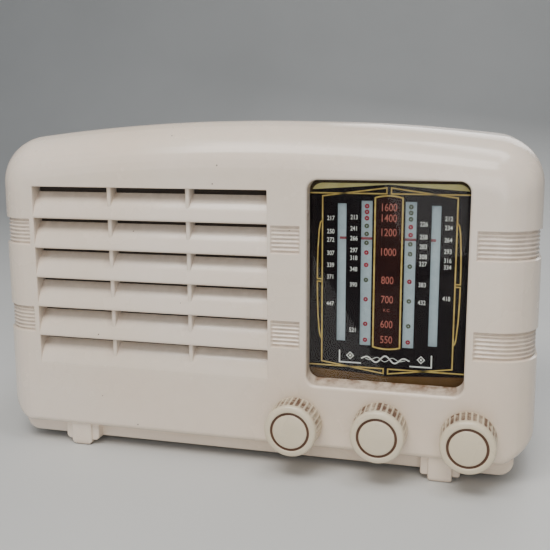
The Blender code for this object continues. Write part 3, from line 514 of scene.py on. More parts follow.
def smoothstep(value, low, high):
    share = min(1.0, max(0.0, (value - low) / (high - low)))
    return share * share * (3 - 2 * share)


# ---- outlines in the XZ plane -------------------------------------------
def at_depth(points, y):
    return [(x, y, z) for x, z in points]


def rect(x0, x1, z0, z1):
    return [(x0, z0), (x1, z0), (x1, z1), (x0, z1)]


def circle(mid_x, mid_z, radius, steps):
    return [(mid_x + radius * cos(tau * i / steps), mid_z + radius * sin(tau * i / steps))
            for i in range(steps)]


def rounded(x0, x1, z0, z1, radius, steps=8):
    points = []
    for mid_x, mid_z, start in ((x1 - radius, z1 - radius, 0), (x0 + radius, z1 - radius, 90),
                                (x0 + radius, z0 + radius, 180),
                                (x1 - radius, z0 + radius, 270)):
        for i in range(steps + 1):
            angle = radians(start + 90 * i / steps)
            points.append((mid_x + radius * cos(angle), mid_z + radius * sin(angle)))
    return points


def block(x0, x1, y0, y1, z0, z1):
    return loft([at_depth(rect(x0, x1, z0, z1), y) for y in (y0, y1)])


# ---- cabinet shell ------------------------------------------------------
def draw(z):
    """Share by which the cabinet narrows at a height."""
    return LEAN * (z - LEAN_FROM)


def roll(radius, depth, wall):
    """How far a rolled edge stands in at a depth behind the front face."""
    if depth >= radius or radius <= wall:
        return wall
    return radius - sqrt(max((radius - wall) ** 2 - (radius - depth) ** 2, 0.0))


def outline(depth, wall=0.0, n_top=24, n_arc=14, n_side=6, ease=0.0):
    """Cabinet outline at a depth behind the front, drawn in by wall and ease."""
    top, side, low = (roll(radius, depth, wall) + ease
                      for radius in (ROLL_TOP, ROLL_SIDE, ROLL_LOW))
    half = WIDTH / 2 - side
    arc_x = max(CORNER_TOP - 0.85 * side, 3.0)
    arc_z = max(CORNER_TOP - 0.6 * top, 3.0)
    edge = half - arc_x
    for _ in range(6):      # settles where the crown meets the corner at a tangent
        start = atan2(arc_z, 2 * CROWN * edge * arc_x)
        edge = half - arc_x + arc_x * cos(start)
    mid_x = half - arc_x
    mid_z = HEIGHT - CROWN * edge * edge - top - arc_z * sin(start)
    low_radius = max(CORNER_LOW - 0.8 * side, 3.0)
    base = BODY_BASE + low
    right = [(edge * i / n_top, HEIGHT - CROWN * (edge * i / n_top) ** 2 - top)
             for i in range(n_top)]
    for i in range(n_arc + 1):
        angle = start * (1 - i / n_arc)
        right.append((mid_x + arc_x * cos(angle), mid_z + arc_z * sin(angle)))
    right += [(half, mid_z + (base + low_radius - mid_z) * i / n_side)
              for i in range(1, n_side)]
    for i in range(n_arc + 1):
        angle = pi / 2 * i / n_arc
        right.append((half - low_radius + low_radius * cos(angle),
                      base + low_radius - low_radius * sin(angle)))
    right += [((half - low_radius) * (1 - i / 8), base) for i in range(1, 9)]
    right = [(x * (1 - draw(z)), z) for x, z in right]
    return right + [(-x, z) for x, z in right[-2:0:-1]]


def depth_steps(radius, count):
    return [radius * (1 - cos(pi / 2 * i / count)) for i in range(count)]


def body():
    depths = depth_steps(ROLL_TOP, 14) + depth_steps(ROLL_SIDE, 5)[1:]
    depths += depth_steps(ROLL_LOW, 4)[1:] + [ROLL_SIDE, ROLL_TOP, 60, 95, 125]
    depths = sorted(set(round(depth, 4) for depth in depths))
    rings = [at_depth(outline(depth), FRONT + depth) for depth in depths]
    for back, ease in ((1.0, 0.0), (0.55, 0.12), (0.2, 0.4), (0.0, 0.9)):
        rings.append(at_depth(outline(100, ease=ease), REAR - back))
    return loft(rings)


def hollow():
    """The space inside the walls, open past the rear."""
    depths = [WALL + step * (ROLL_TOP - WALL) / ROLL_TOP for step in depth_steps(ROLL_TOP, 7)]
    depths += [ROLL_TOP, REAR - FRONT + 8]
    return loft([at_depth(outline(depth, WALL, 12, 6, 3), FRONT + depth) for depth in depths])


def flared(x0, x1, z0, z1, radius, soft, depth, steps=6, arc=10, sill=0.0):
    """A hole cutter with a mouth rounded by soft; its sill may fall towards the front."""
    mouth = []
    for i in range(steps + 1):
        angle = pi / 2 * i / steps
        mouth.append((0.02 + soft * (1 - cos(angle)), soft - soft * sin(angle)))
    rings = []
    for back, grow in [(-4.0, soft)] + mouth + [(9.0, 0.0), (depth, 0.0)]:
        drop = sill * (1 - min(max(back, 0.0) / 9.0, 1.0))
        points = rounded(x0 - grow, x1 + grow, z0 - grow - drop, z1 + grow, radius + grow, arc)
        rings.append(at_depth(points, FRONT + back))
    return loft(rings)


# ---- rib bands, pressed in along the front and round the front corners ---
def rib_depth(z, z0, z1):
    margin = min(z - z0, z1 - z)
    groove = 0.85 * (0.5 - 0.5 * cos(tau * (z - z0) / RIB_PITCH)) ** 0.62
    full = 1.05 + groove
    if margin < 0.9:
        return full * sin(max(margin, 0) / 0.9 * pi / 2)
    return full


def contour(group):
    """Stations (x, y, normal x, normal y) along a band, and their running lengths."""
    points = []
    if group == "middle":
        x0, x1 = 15.6, 33.0
        points += [(x0 + (x1 - x0) * i / 12, FRONT, 0.0, -1.0) for i in range(13)]
    else:
        sign = -1 if group == "left" else 1
        start = 138.0 if group == "left" else 129.9
        end = 55.0
        half = WIDTH / 2
        for i in range(9):
            points.append((sign * (start + (half - ROLL_SIDE - start) * i / 9),
                           FRONT, 0.0, -1.0))
        for i in range(17):
            angle = pi / 2 * i / 16
            points.append((sign * (half - ROLL_SIDE + ROLL_SIDE * sin(angle)),
                           FRONT + ROLL_SIDE - ROLL_SIDE * cos(angle),
                           sign * sin(angle), -cos(angle)))
        for i in range(1, 11):
            y = FRONT + ROLL_SIDE + (end - FRONT - ROLL_SIDE) * i / 10
            points.append((sign * half, y, float(sign), 0.0))

    def split(near, far, shares):
        return [tuple(near[k] + (far[k] - near[k]) * share for k in range(4))
                for share in shares]
    # extra stations for the rounded ends of the band
    dense = [points[0]] + split(points[0], points[1], (0.12, 0.25, 0.45, 0.7)) + points[1:-1]
    dense += split(points[-2], points[-1], (0.3, 0.6, 0.8, 0.92)) + [points[-1]]
    run = [0.0]
    for near, far in zip(dense, dense[1:]):
        run.append(run[-1] + hypot(far[0] - near[0], far[1] - near[1]))
    return dense, run


def band_cutter(group, z0, z1):
    points, run = contour(group)
    rows = int(round((z1 - z0) / RIB_PITCH)) * 10
    clearance = 0.12        # lifts the rim of the cutter off the surface
    build = bmesh.new()
    inside, outside = [], []
    for k in range(rows + 1):
        z = z0 + (z1 - z0) * k / rows
        row_in, row_out = [], []
        for (x, y, normal_x, normal_y), length in zip(points, run):
            fade = sin(min(min(length, run[-1] - length) / 1.4, 1.0) * pi / 2)
            sunk = rib_depth(z, z0, z1) * fade - clearance * (1 - min(1.0, fade * 6))
            sunk -= (clearance if k in (0, rows) else 0.0) * fade
            narrow = 1 - draw(z) * min(1.0, max(0.0, (abs(x) - 141.0) / 12.0))
            row_in.append(build.verts.new(((x * narrow - normal_x * sunk) * MM,
                                           (y - normal_y * sunk) * MM, z * MM)))
            row_out.append(build.verts.new(((x * narrow + normal_x * 5) * MM,
                                            (y + normal_y * 5) * MM, z * MM)))
        inside.append(row_in)
        outside.append(row_out)
    last = len(points) - 1
    for k in range(rows):
        low_in, high_in, low_out, high_out = inside[k], inside[k + 1], outside[k], outside[k + 1]
        for i in range(last):
            build.faces.new((low_in[i], low_in[i + 1], high_in[i + 1], high_in[i]))
            build.faces.new((low_out[i + 1], low_out[i], high_out[i], high_out[i + 1]))
        for i in (0, last):
            build.faces.new((low_in[i], high_in[i], high_out[i], low_out[i]))
    for k in (0, rows):
        for i in range(last):
            build.faces.new((inside[k][i], inside[k][i + 1],
                             outside[k][i + 1], outside[k][i]))
    return to_mesh(build)


def cabinet_grime(x, y, z):
    """Stain on the window sill, darker with depth round the rest of the window mouth and in the
    rib grooves, and painted shade on the walls of the grille opening.
    """
    dirt_and_shade = 0.0
    depth = y - FRONT
    beside_window = WIN_LEFT - 3 < x < WIN_RIGHT + 3 and WIN_LOW - 4.5 < z < WIN_TOP + 3
    if beside_window and depth > 0.3:
        if z < WIN_LOW + 0.6:
            dirt_and_shade = 0.66 * smoothstep(depth, 0.3, 2.4) + 0.20 * smoothstep(depth, 6.0, 9.0)
        else:
            # darker with depth round the sides and top of the window mouth, most just under its
            # top
            dirt_and_shade = (0.30 if z < WIN_TOP - 2 else 0.55) * smoothstep(depth, 0.5, 3.2)
    in_band = any(z0 - 1 < z < z1 + 1 for z0, z1 in BANDS)
    if in_band and (x < -134 or 14 < x < 35 or x > 128):
        across = abs(x) / (1 - draw(z)) if abs(x) > 141 else abs(x)
        past_flat = across - (WIDTH / 2 - ROLL_SIDE)
        if depth > ROLL_SIDE:
            inset = max(0.0, WIDTH / 2 - across)
        elif past_flat < 0:
            inset = depth
        else:
            inset = ROLL_SIDE - hypot(past_flat, depth - ROLL_SIDE)
        # darker in the rib grooves
        dirt_and_shade = max(dirt_and_shade, 0.30 * smoothstep(inset, 1.1, 1.9))
    in_grille = (GRILLE_LEFT - 2 < x < GRILLE_RIGHT + 2
                 and GRILLE_LOW - 2 < z < GRILLE_TOP + 2)
    if in_grille and depth > 1.0:
        # painted shade: the walls of the grille opening darken with depth
        dirt_and_shade = max(dirt_and_shade, 0.25 * smoothstep(depth, 2, 5))
    return dirt_and_shade


shell = carve(body(), [hollow()])
collar = rounded(WIN_LEFT - 2.6, WIN_RIGHT + 2.6, WIN_LOW - 4.4, WIN_TOP + 2.6,
                 WIN_RADIUS + 2.6)
shell = carve(shell, [loft([at_depth(collar, FRONT + back) for back in (2, 9)])], "UNION")
tools = [block(-OPEN_HALF, OPEN_HALF, PLINTH_FRONT + 4, REAR + 5, DECK + 3.5, BODY_BASE + 20),
         flared(GRILLE_LEFT, GRILLE_RIGHT, GRILLE_LOW + 0.2, GRILLE_TOP,
                radius=0.6, soft=0.55, depth=20, steps=4, arc=4),
         flared(WIN_LEFT, WIN_RIGHT, WIN_LOW, WIN_TOP,
                radius=WIN_RADIUS, soft=1.4, depth=30, sill=SILL_DROP)]
SHAFT_HOLE = ((0, FRONT - 5), (5.5, FRONT - 5), (5.5, FRONT + 9), (0, FRONT + 9))
for _, knob_x, knob_z, _ in KNOBS:
    tools.append(lathe(SHAFT_HOLE, (knob_x, 0, knob_z), steps=40))
for z0, z1 in BANDS:
    for group in ("left", "middle", "right"):
        tools.append(band_cutter(group, z0, z1))
shell = carve(shell, tools)
paint(shell, cabinet_grime)
put("cabinet_shell", shell, IVORY, sharp=32, weight=90,
    replaces="cabinet")
for face in shell.polygons:
    face.material_index = 0

# ---- plinth with rounded ends, and the stepped feet ----------------------
plinth_rings = []
for y, ease in ((PLINTH_FRONT, 1.2), (PLINTH_FRONT + 0.35, 0.4), (PLINTH_FRONT + 1.2, 0.0),
                (REAR - 6, 0.0)):
    plinth_rings.append(at_depth(rounded(-PLINTH_HALF + ease, PLINTH_HALF - ease,
                                         PLINTH_BASE + ease, BODY_BASE + 14, 8.5), y))
above, behind = BODY_BASE + 30, REAR + 5     # ends of the cutters, clear of the plinth
plinth = carve(loft(plinth_rings), [
    block(-OPEN_HALF, OPEN_HALF, PLINTH_FRONT + 4, behind, DECK + 3.5, above),
    block(-144, 144, PLINTH_FRONT + 4, REAR - 10, -5, DECK),
    block(-170, 170, PLINTH_FRONT + 1.6, behind, BODY_BASE + 2.0, above),
    block(-170, 170, PLINTH_FRONT - 5, behind, BODY_BASE + 3.0, above)])
# painted shadow under the body: the plinth darkens towards its top, just below the body's lower
# edge
paint(plinth, lambda x, y, z: 0.18 * smoothstep(z, BODY_BASE - 3, BODY_BASE))
put("cabinet_plinth", plinth, IVORY, sharp=40, weight=50)


def lobe(mid_x, half, bottom, top, y0, y1, soft, radius):
    """Post with rounded lower corners, eased at its front and rear."""
    rings = []
    for y, ease in ((y0, soft), (y0 + soft * 0.13, soft * 0.5), (y0 + soft * 0.5, soft * 0.13),
                    (y0 + soft, 0.0), (y1 - soft, 0.0), (y1 - soft * 0.4, soft * 0.2),
                    (y1, soft)):
        reach, low = half - ease, bottom + ease
        points = [(mid_x + reach, top), (mid_x - reach, top)]
        for start, centre in ((pi, mid_x - reach + radius),
                              (1.5 * pi, mid_x + reach - radius)):
            for i in range(7):
                angle = start + pi / 2 * i / 6
                points.append((centre + radius * cos(angle),
                               low + radius + radius * sin(angle)))
        rings.append(at_depth(points, y))
    return loft(rings)


feet = []
for foot_x, worn in zip(FOOT_X, (2.9, 1.5)):
    for y0, y1, top, radius in ((FOOT_FRONT, PLINTH_FRONT + 3.6, BODY_BASE + 1.4, worn),
                                (REAR - 26, REAR - 10.6, DECK + 2, 1.8)):
        feet.append(lobe(foot_x, 6.9, 0.0, top, y0, y1, 1.0, radius))
        feet.append(lobe(foot_x, 11.3, 2.75, top - 0.2, y0 + 1.7, y1 - 1.0, 0.9, radius))
feet = merge(feet)
paint(feet, lambda x, y, z: 0.35 * (1 - smoothstep(z, 0.2, 2.2)))
put("cabinet_feet", feet, IVORY, sharp=50, weight=60)

# ---- grille: blades that rise and fall back behind the next lip ----------
# depth behind the front, height above the blade's lip
BLADE_PROFILE = ((0.05, 0.0), (0.25, 1.0), (0.85, 3.2), (2.0, 6.2),
                 (3.7, 9.2), (5.6, 11.7), (7.3, 13.6), (8.7, 15.0))


def blade(index):
    lip = GRILLE_LOW + BLADE_PITCH * index
    front = [(FRONT + back, lip + rise) for back, rise in BLADE_PROFILE]
    if index:
        nose = [(FRONT + 0.22, lip - 0.42), (FRONT + 0.65, lip - 0.75), (FRONT + 1.3, lip - 0.9)]
    else:
        nose = [(FRONT + 0.6, lip - 2.0), (FRONT + 2.5, lip - 2.5)]
    deep, crest = BLADE_PROFILE[-1][0], front[-1][1]
    rear = [(FRONT + deep + 0.5, crest - 0.15), (FRONT + deep + 0.6, crest - 1.0)]
    under = [(FRONT + back + 1.5, lip + rise - 1.3)
             for back, rise in reversed(BLADE_PROFILE[1:-1])]
    section = front + rear + under + nose[::-1]
    width = GRILLE_RIGHT - GRILLE_LEFT
    columns = [GRILLE_LEFT + width * i / 24 for i in range(25)]
    columns = [GRILLE_LEFT - 1.0] + columns + [GRILLE_RIGHT + 1.0]
    return loft([[(x, y, z) for y, z in section] for x in columns])


def blade_grime(x, y, z):
    # painted shade: each blade darkens towards the back under the next lip and beside the webs and
    # jambs, and its hidden back part is near dark
    depth = y - FRONT
    if depth > 8.9:
        return 0.9
    dirt_and_shade = 0.22 * smoothstep(depth, 3.0, 8.7)
    for side in WEBS + (GRILLE_LEFT, GRILLE_RIGHT):
        beside = 1 - smoothstep(abs(x - side), 1.3, 4.5)
        dirt_and_shade = max(dirt_and_shade, 0.50 * beside * smoothstep(depth, 1.6, 6.0))
    return dirt_and_shade


def web(mid_x):
    """Upright with a half-round front edge."""
    ring = []
    for i in range(13):
        angle = pi * i / 12
        ring.append((mid_x + 1.35 * cos(angle), FRONT + 3.3 - sin(angle)))
    ring += [(mid_x - 1.75, FRONT + 10.2), (mid_x + 1.75, FRONT + 10.2)]
    rise = GRILLE_TOP + 1.0 - GRILLE_LOW
    return loft([[(x, y, GRILLE_LOW + rise * k / 12) for x, y in ring] for k in range(13)])


blades = merge([blade(i) for i in range(BLADES)])
paint(blades, blade_grime)
put("grille_blades", blades, IVORY, sharp=45)
webs = [web(mid_x) for mid_x in WEBS]
for x0, x1 in ((GRILLE_LEFT - 2.2, GRILLE_LEFT - 0.03), (GRILLE_RIGHT + 0.03, GRILLE_RIGHT + 2.2)):
    webs.append(block(x0, x1, FRONT + 2.2, FRONT + 10.2, GRILLE_LOW - 1.5, GRILLE_TOP + 1.5))
webs = merge(webs)
# painted shade: the webs and the jambs darken towards the back of the grille
paint(webs, lambda x, y, z: 0.22 * smoothstep(y - FRONT, 5.5, 9.5))
put("grille_webs", webs, IVORY, sharp=40)

# ---- knobs --------------------------------------------------------------
FACE = -KNOB_HEIGHT
FLUTES = 30
# radius, distance behind the face plane: dished cap, ring groove, raised rim
KNOB_CAP = (
    (0, -0.55), (2, -0.54), (4.5, -0.46), (7, -0.30), (9.0, -0.10), (9.75, 0.06),
    (10.0, 0.22), (10.08, 0.55), (10.25, 0.80), (10.7, 0.88), (11.15, 0.80), (11.32, 0.5),
    (11.4, 0.16), (11.6, -0.05), (12.0, -0.14), (12.7, -0.12), (13.4, 0.05))
# radius, distance from the back plane: back edge, then the blind shaft hole
KNOB_REAR = ((KNOB_RADIUS - 0.25, -0.08), (KNOB_RADIUS - 0.6, 0.0), (12, 0.0), (3.3, 0.0),
             (3.3, -12.7), (0, -12.7))


def knob_profile():
    points = [(radius, FACE + back) for radius, back in KNOB_CAP]
    for i in range(1, 9):
        angle = pi / 2 * i / 8
        points.append((13.4 + 1.75 * sin(angle), FACE + 0.05 + 1.9 * (1 - cos(angle))))
    radius, start = points[-1]
    for i in range(1, 23):
        share = i / 22
        points.append((radius + (KNOB_RADIUS - radius) * share ** 0.9,
                       start + (-0.35 - start) * share))
    return points + list(KNOB_REAR)


def knob_swell(angle, radius, distance):
    """Flutes that fade out towards the face and the back."""
    if radius < 15.1 or distance > -0.2 or distance < FACE + 2.0:
        return radius
    fade = smoothstep(distance, FACE + 2.2, FACE + 5.2) * (1 - smoothstep(distance, -1.0, -0.3))
    wave = 0.5 + 0.5 * cos(FLUTES * angle)
    return radius - 0.50 * fade * (1 - wave ** 1.8)


def add_knob(name, mid_x, mid_z, phase):
    def grime(x, y, z):
        radius, distance = hypot(x - mid_x, z - mid_z), y - KNOB_BACK
        if distance < FACE + 1.2 and 9.9 < radius < 11.45:
            return 2.6 * smoothstep(distance, FACE + 0.10, FACE + 0.5)
        angle = atan2(z - mid_z, x - mid_x)
        if FACE + 2.4 < distance < -0.1 and radius > 14.8:
            share = (distance - FACE - 1.95) / (KNOB_HEIGHT - 2.3)
            crest = 15.15 + (KNOB_RADIUS - 15.15) * share ** 0.9
            sunk = smoothstep(crest - radius, 0.05, 0.34)
            patch = 0.5 + 0.5 * sin(3 * angle + phase) * sin(7 * angle + phase * 2)
            upper = smoothstep(sin(angle), -0.1, 0.75)
            return ((0.16 + 0.60 * upper) * sunk * (0.6 + 0.6 * patch)
                    + 0.26 * upper * patch + 0.10)
        return 0.03

    mesh = lathe(knob_profile(), (mid_x, KNOB_BACK, mid_z), steps=240, swell=knob_swell)
    paint(mesh, grime)
    put(name + "_knob_fine", mesh, KNOB, body=name, sharp=50,
        replaces=name + "_knob")


for knob in KNOBS:
    add_knob(*knob)

# ---- dial glass ---------------------------------------------------------
GLASS = FRONT + 9.3
INK = GLASS + 2.44      # depth of the first ink layer, behind the glass
pane_rings = []
for back, ease in ((0.0, 0.5), (0.2, 0.12), (0.6, 0.0), (2.0, 0.0), (2.3, 0.3)):
    pane_rings.append(at_depth(rounded(
        WIN_LEFT - 2.3 + ease, WIN_RIGHT + 2.3 - ease,
        WIN_LOW - 2.3 + ease, WIN_TOP + 2.3 - ease, WIN_RADIUS + 2, 10), GLASS + back))
put("dial_glass_pane", loft(pane_rings), PANE, sharp=40, replaces="dial_glass")


# ---- dial print: flat plates in layers behind the glass ------------------
def ink(outlines, near=0.0, far=0.05):
    """Printed shape between two distances behind the first layer."""
    return prism(outlines, INK + near, INK + far)


def put_print(name, mesh, material):
    put(name, mesh, material)


def stroke(points, width, close=False):
    """Mitred outline of a line."""
    points = [Vector(point) for point in points]
    count = len(points)
    left, right = [], []
    for i, here in enumerate(points):
        if close:
            before, after = points[(i - 1) % count], points[(i + 1) % count]
        else:
            before, after = points[max(i - 1, 0)], points[min(i + 1, count - 1)]
        arrive, leave = here - before, after - here
        arrive = (arrive if arrive.length > 1e-6 else after - here).normalized()
        leave = leave.normalized() if leave.length > 1e-6 else arrive
        normal = Vector((-arrive.y, arrive.x))
        mitre = normal + Vector((-leave.y, leave.x))
        mitre = mitre.normalized() if mitre.length > 1e-4 else normal
        reach = width / 2 / max(0.35, mitre.dot(Vector((-leave.y, leave.x))))
        left.append(tuple(here + mitre * reach))
        right.append(tuple(here - mitre * reach))
    return [left, right] if close else [left + right[::-1]]


# clear strips in the black field: centre x, width, bottom, top
STRIPS = ((54.95, 5.0, 77.3, 157.3), (69.1, 6.2, 75.4, 159.0),
          (93.7, 6.2, 75.2, 158.8), (107.6, 5.0, 77.0, 156.9))
border = rounded(WIN_LEFT - 2.0, WIN_RIGHT + 2.0, WIN_LOW - 2.0, WIN_TOP + 2.0,
                 WIN_RADIUS + 1.6, 10)
openings = [rect(mid_x - width / 2, mid_x + width / 2, z0, z1)
            for mid_x, width, z0, z1 in STRIPS]
put_print("dial_field", ink([border] + openings, 0.14, 0.22), BLACK)
strips = []
for mid_x, width, z0, z1 in STRIPS:
    reach = (width + 0.6) / 2
    strips.append(ink([rect(mid_x - reach, mid_x + reach, z0 - 0.3, z1 + 0.3)], 0.24, 0.30))
put_print("dial_strips", merge(strips), FILM)

PRINT_LEFT, PRINT_RIGHT = WIN_LEFT - 1.6, WIN_RIGHT + 1.6
gold_top = [(PRINT_LEFT, 164.9), (DIAL_X - 16, 167.0), (DIAL_X, 168.3), (DIAL_X + 16, 167.0),
            (PRINT_RIGHT, 164.9), (PRINT_RIGHT, 172.4), (PRINT_LEFT, 172.4)]
gold_low = [(PRINT_LEFT, 60.0), (DIAL_X - 16, 58.4), (DIAL_X, 57.2), (DIAL_X + 16, 58.4),
            (PRINT_RIGHT, 60.0), (PRINT_RIGHT, 53.4), (PRINT_LEFT, 53.4)]
put_print("dial_band_top", ink([gold_top], 0.06, 0.12), GOLD_TOP)
put_print("dial_band_low", ink([gold_low], 0.06, 0.12), GOLD_SILL_REFLECTION)

# painted shadow of the window's top lip: a dark band round the top edge of the glass
inset = rounded(WIN_LEFT + 0.3, WIN_RIGHT - 0.3, WIN_LOW - 1.0, WIN_TOP - 2.3,
                WIN_RADIUS + 0.5, 10)
lip_shadow = [point for point in border if point[1] > 160]
lip_shadow += [(PRINT_LEFT, 164.0), (WIN_LEFT + 0.3, 164.0)]
lip_shadow += [point for point in inset if point[1] > 160][::-1]
lip_shadow += [(WIN_RIGHT - 0.3, 164.0), (PRINT_RIGHT, 164.0)]
put_print("dial_painted_lip_shadow", ink([lip_shadow]), PAINTED_LIP_SHADOW)

# gold lines: the left half, its mirror image, and the frame of the middle panel
LINE_WIDTH = 0.74
FRAME_X = 43.7
wedge = [(PRINT_LEFT, 163.1), (80.0, 163.1), (80.0, 166.4), (FRAME_X, 161.4),
         (FRAME_X, 64.2), (80.0, 59.0), (80.0, 61.9), (PRINT_LEFT, 61.9)]
# height, distance left of the frame line
UPPER_BRACKET = ((147.6, 0), (146.2, 1.2), (142, 1.9), (131, 2.6), (120, 2.85), (113.4, 2.85),
                 (113.4, 0))
LOWER_BRACKET = ((111.9, 0), (111.9, 2.85), (103, 2.75), (92, 2.4), (81.5, 1.5), (79.2, 0.9),
                 (78.0, 0))
left_lines = [(wedge, LINE_WIDTH)]
for bracket in (UPPER_BRACKET, LOWER_BRACKET):
    left_lines.append(([(FRAME_X - out, z) for z, out in bracket], LINE_WIDTH * 0.95))
right_lines = [([(2 * DIAL_X - x, z) for x, z in line], width) for line, width in left_lines]
lines = [ink(stroke(line, width)) for line, width in left_lines + right_lines]
PANEL_LEFT, PANEL_RIGHT = 73.7, 89.1
panel = [(PANEL_LEFT, 74.8)]
panel += [(PANEL_LEFT + 15.4 * i / 8, 74.6 - 0.9 * sin(pi * i / 8)) for i in range(1, 8)]
panel += [(PANEL_RIGHT, 74.8), (PANEL_RIGHT, 160.8)]
panel += [(PANEL_RIGHT - 15.4 * i / 8, 161.0 + 1.0 * sin(pi * i / 8)) for i in range(1, 8)]
panel.append((PANEL_LEFT, 160.8))
lines.append(ink(stroke(panel, LINE_WIDTH * 1.15, close=True)))
put_print("dial_lines", merge(lines), LINE)
put_print("dial_panel", ink([panel], 0.07, 0.12), UMBER)


def lettering(items, height, squeeze, weight=0.0):
    """Flat raised ink; items are (text, centre x, centre z)."""
    meshes = []
    for text, x, z in items:
        curve = bpy.data.curves.new("text", "FONT")
        curve.body = text
        curve.size = height / 0.70 * MM
        curve.align_x = "CENTER"
        curve.align_y = "CENTER"
        curve.extrude = 0.00002
        curve.offset = weight * MM
        curve.resolution_u = 4
        meshes.append(stand_up(curve, (x * MM, (INK + 0.02) * MM, z * MM), squeeze))
    return merge(meshes)


def scale_z(kilocycles):
    """Height of a frequency on the dial."""
    z = 155.3 - 63870 * (1 / kilocycles - 1 / 1600)
    share = (155.3 - z) / 76.2
    return z - 1.5 * sin(pi * min(1, max(0, share)))


def metres_at(z):
    """Wavelength in whole metres nearest a height on the dial."""
    return str(min(range(185, 560), key=lambda metres: abs(scale_z(299792 / metres) - z)))


figures = [(str(value), DIAL_X, scale_z(value))
           for value in (1600, 1400, 1200, 1000, 800, 700, 600, 550)]
put_print("dial_figures", lettering(figures, height=4.3, squeeze=0.78, weight=0.03), DIGIT)
put_print("dial_unit", lettering([("K.C.", DIAL_X, 96.5)], height=1.7, squeeze=0.95), DIGIT)
# column x, heights of its wavelengths
WAVELENGTHS = (
    (48.5, (148.7, 141.1, 136.3, 128.6, 121.6, 114.7, 98.9)),
    (61.9, (149.5, 143.1, 137.5, 130.7, 126.2, 119.7, 110.7, 83.9)),
    (100.9, (146.5, 139.3, 133.9, 128.2, 124.1, 112.2, 102.0)),
    (114.4, (149.8, 144.8, 138.0, 131.6, 126.5, 122.7, 104.9)))
marks = [(metres_at(z), x, z) for x, heights in WAVELENGTHS for z in heights]
put_print("dial_wavelengths", lettering(marks, height=2.55, squeeze=0.80, weight=0.03), WHITE)

RING_Z = (156.0, 152.7, 149.2, 144.8, 140.3, 135.2, 129.6, 122.5, 113.8, 102.5, 88.0, 78.5)
reds, greens = [], []
for k, z in enumerate(RING_Z):
    for x, red_rows in ((69.1, (0, 1, 2, 6, 7, 9, 10, 11)), (93.7, (3, 4, 8, 11))):
        mark = ink([circle(x, z, 1.35, 20), circle(x, z, 0.32, 20)], 0.16, 0.22)
        (reds if k in red_rows else greens).append(mark)
put_print("dial_marks_red", merge(reds), RED)
put_print("dial_marks_green", merge(greens), GREEN)

# cartouche: two corner lines, two crossing waves, two lozenges with dots
cartouche = [ink(stroke([(54.3, 71.6), (54.3, 64.4), (67.0, 64.4)], 0.75)),
             ink(stroke([(95.0, 64.4), (107.3, 64.4), (107.3, 71.6)], 0.75))]
# start x, length, height of the swing, phase, power of the taper, line width
for start, length, swing, phase, taper, width in ((67.0, 28.0, 2.1, 0.0, 0.5, 0.8),
                                                  (69.5, 23.0, -1.3, 0.2, 0.7, 0.35)):
    wave = [(start + length * i / 60,
             67.4 + swing * sin(tau * 2.5 * i / 60 + phase) * sin(pi * i / 60) ** taper)
            for i in range(61)]
    cartouche.append(ink(stroke(wave, width)))
for x in (60.6, 101.4):
    lozenge = [(x, 70.6), (x + 2.0, 68.6), (x, 66.6), (x - 2.0, 68.6)]
    cartouche.append(ink(stroke(lozenge, 0.5, close=True)))
    cartouche.append(ink([circle(x, 68.6, 0.8, 4)]))
put_print("dial_cartouche", merge(cartouche), WHITE)

stripe_rings = []
for y, ease in ((-61.78, 0.12), (-61.70, 0.03), (-61.62, 0.0)):
    stripe = rect(53.5 + ease, 107.6 - ease, 136.75 + ease, 138.25 - ease)
    stripe_rings.append(at_depth(stripe, y))
put("pointer_stripe", loft(stripe_rings), POINTER_GLOW, body="pointer")

# ---- rear cover: the cabinet's inner outline with a tongue down to z = 7.5 -
rim = outline(100, WALL + 0.6, 16, 8, 3)
low = min(z for _, z in rim)
rim = [(x, z) for x, z in rim if abs(z - low) > 1e-6]
gap = next(i for i, (x, z) in enumerate(rim) if i and rim[i - 1][0] > 0 and x < 0 and z < 100)
rim[gap:gap] = [(147.2, low), (146.0, low), (146.0, 7.5), (-146.0, 7.5), (-146.0, low),
                (-147.2, low)]
LEAD_X, LEAD_Z = -100, 40
holes = []
for row in range(4):
    for column in range(6):
        x, z = -100 + column * 40, 84 + row * 21
        holes.append(rounded(x - 12, x + 12, z - 2.5, z + 2.5, 2.45, 6))
holes += [circle(LEAD_X, LEAD_Z, 5.0, 28), rounded(60, 110, 34, 48, 3, 6)]
holes += [circle(x, z, 1.9, 16) for x, z in ((-153.5, 60), (153.5, 60), (-138, 184), (138, 184))]
put("rear_cover_board", prism([rim] + holes, 70.8, 73.6), FIBRE,
    replaces="rear_cover")


# ---- lead and plug ------------------------------------------------------
def tube(points, radius, sides):
    """Round tube along a path whose corners are cut once."""
    points = [Vector(point) for point in points]
    path = [points[0]]
    for near, far in zip(points, points[1:]):
        path += [near * 0.75 + far * 0.25, near * 0.25 + far * 0.75]
    path.append(points[-1])
    rings, lift = [], Vector((0, 1, 0))
    for i, here in enumerate(path):
        ahead = (path[min(i + 1, len(path) - 1)] - path[max(i - 1, 0)]).normalized()
        side = ahead.cross(lift)
        side = side.normalized() if side.length > 1e-3 else Vector((1, 0, 0))
        lift = side.cross(ahead).normalized()
        ring = []
        for k in range(sides):
            angle = tau * k / sides
            ring.append(tuple(here + radius * (side * cos(angle) + lift * sin(angle))))
        rings.append(ring)
    return loft(rings)


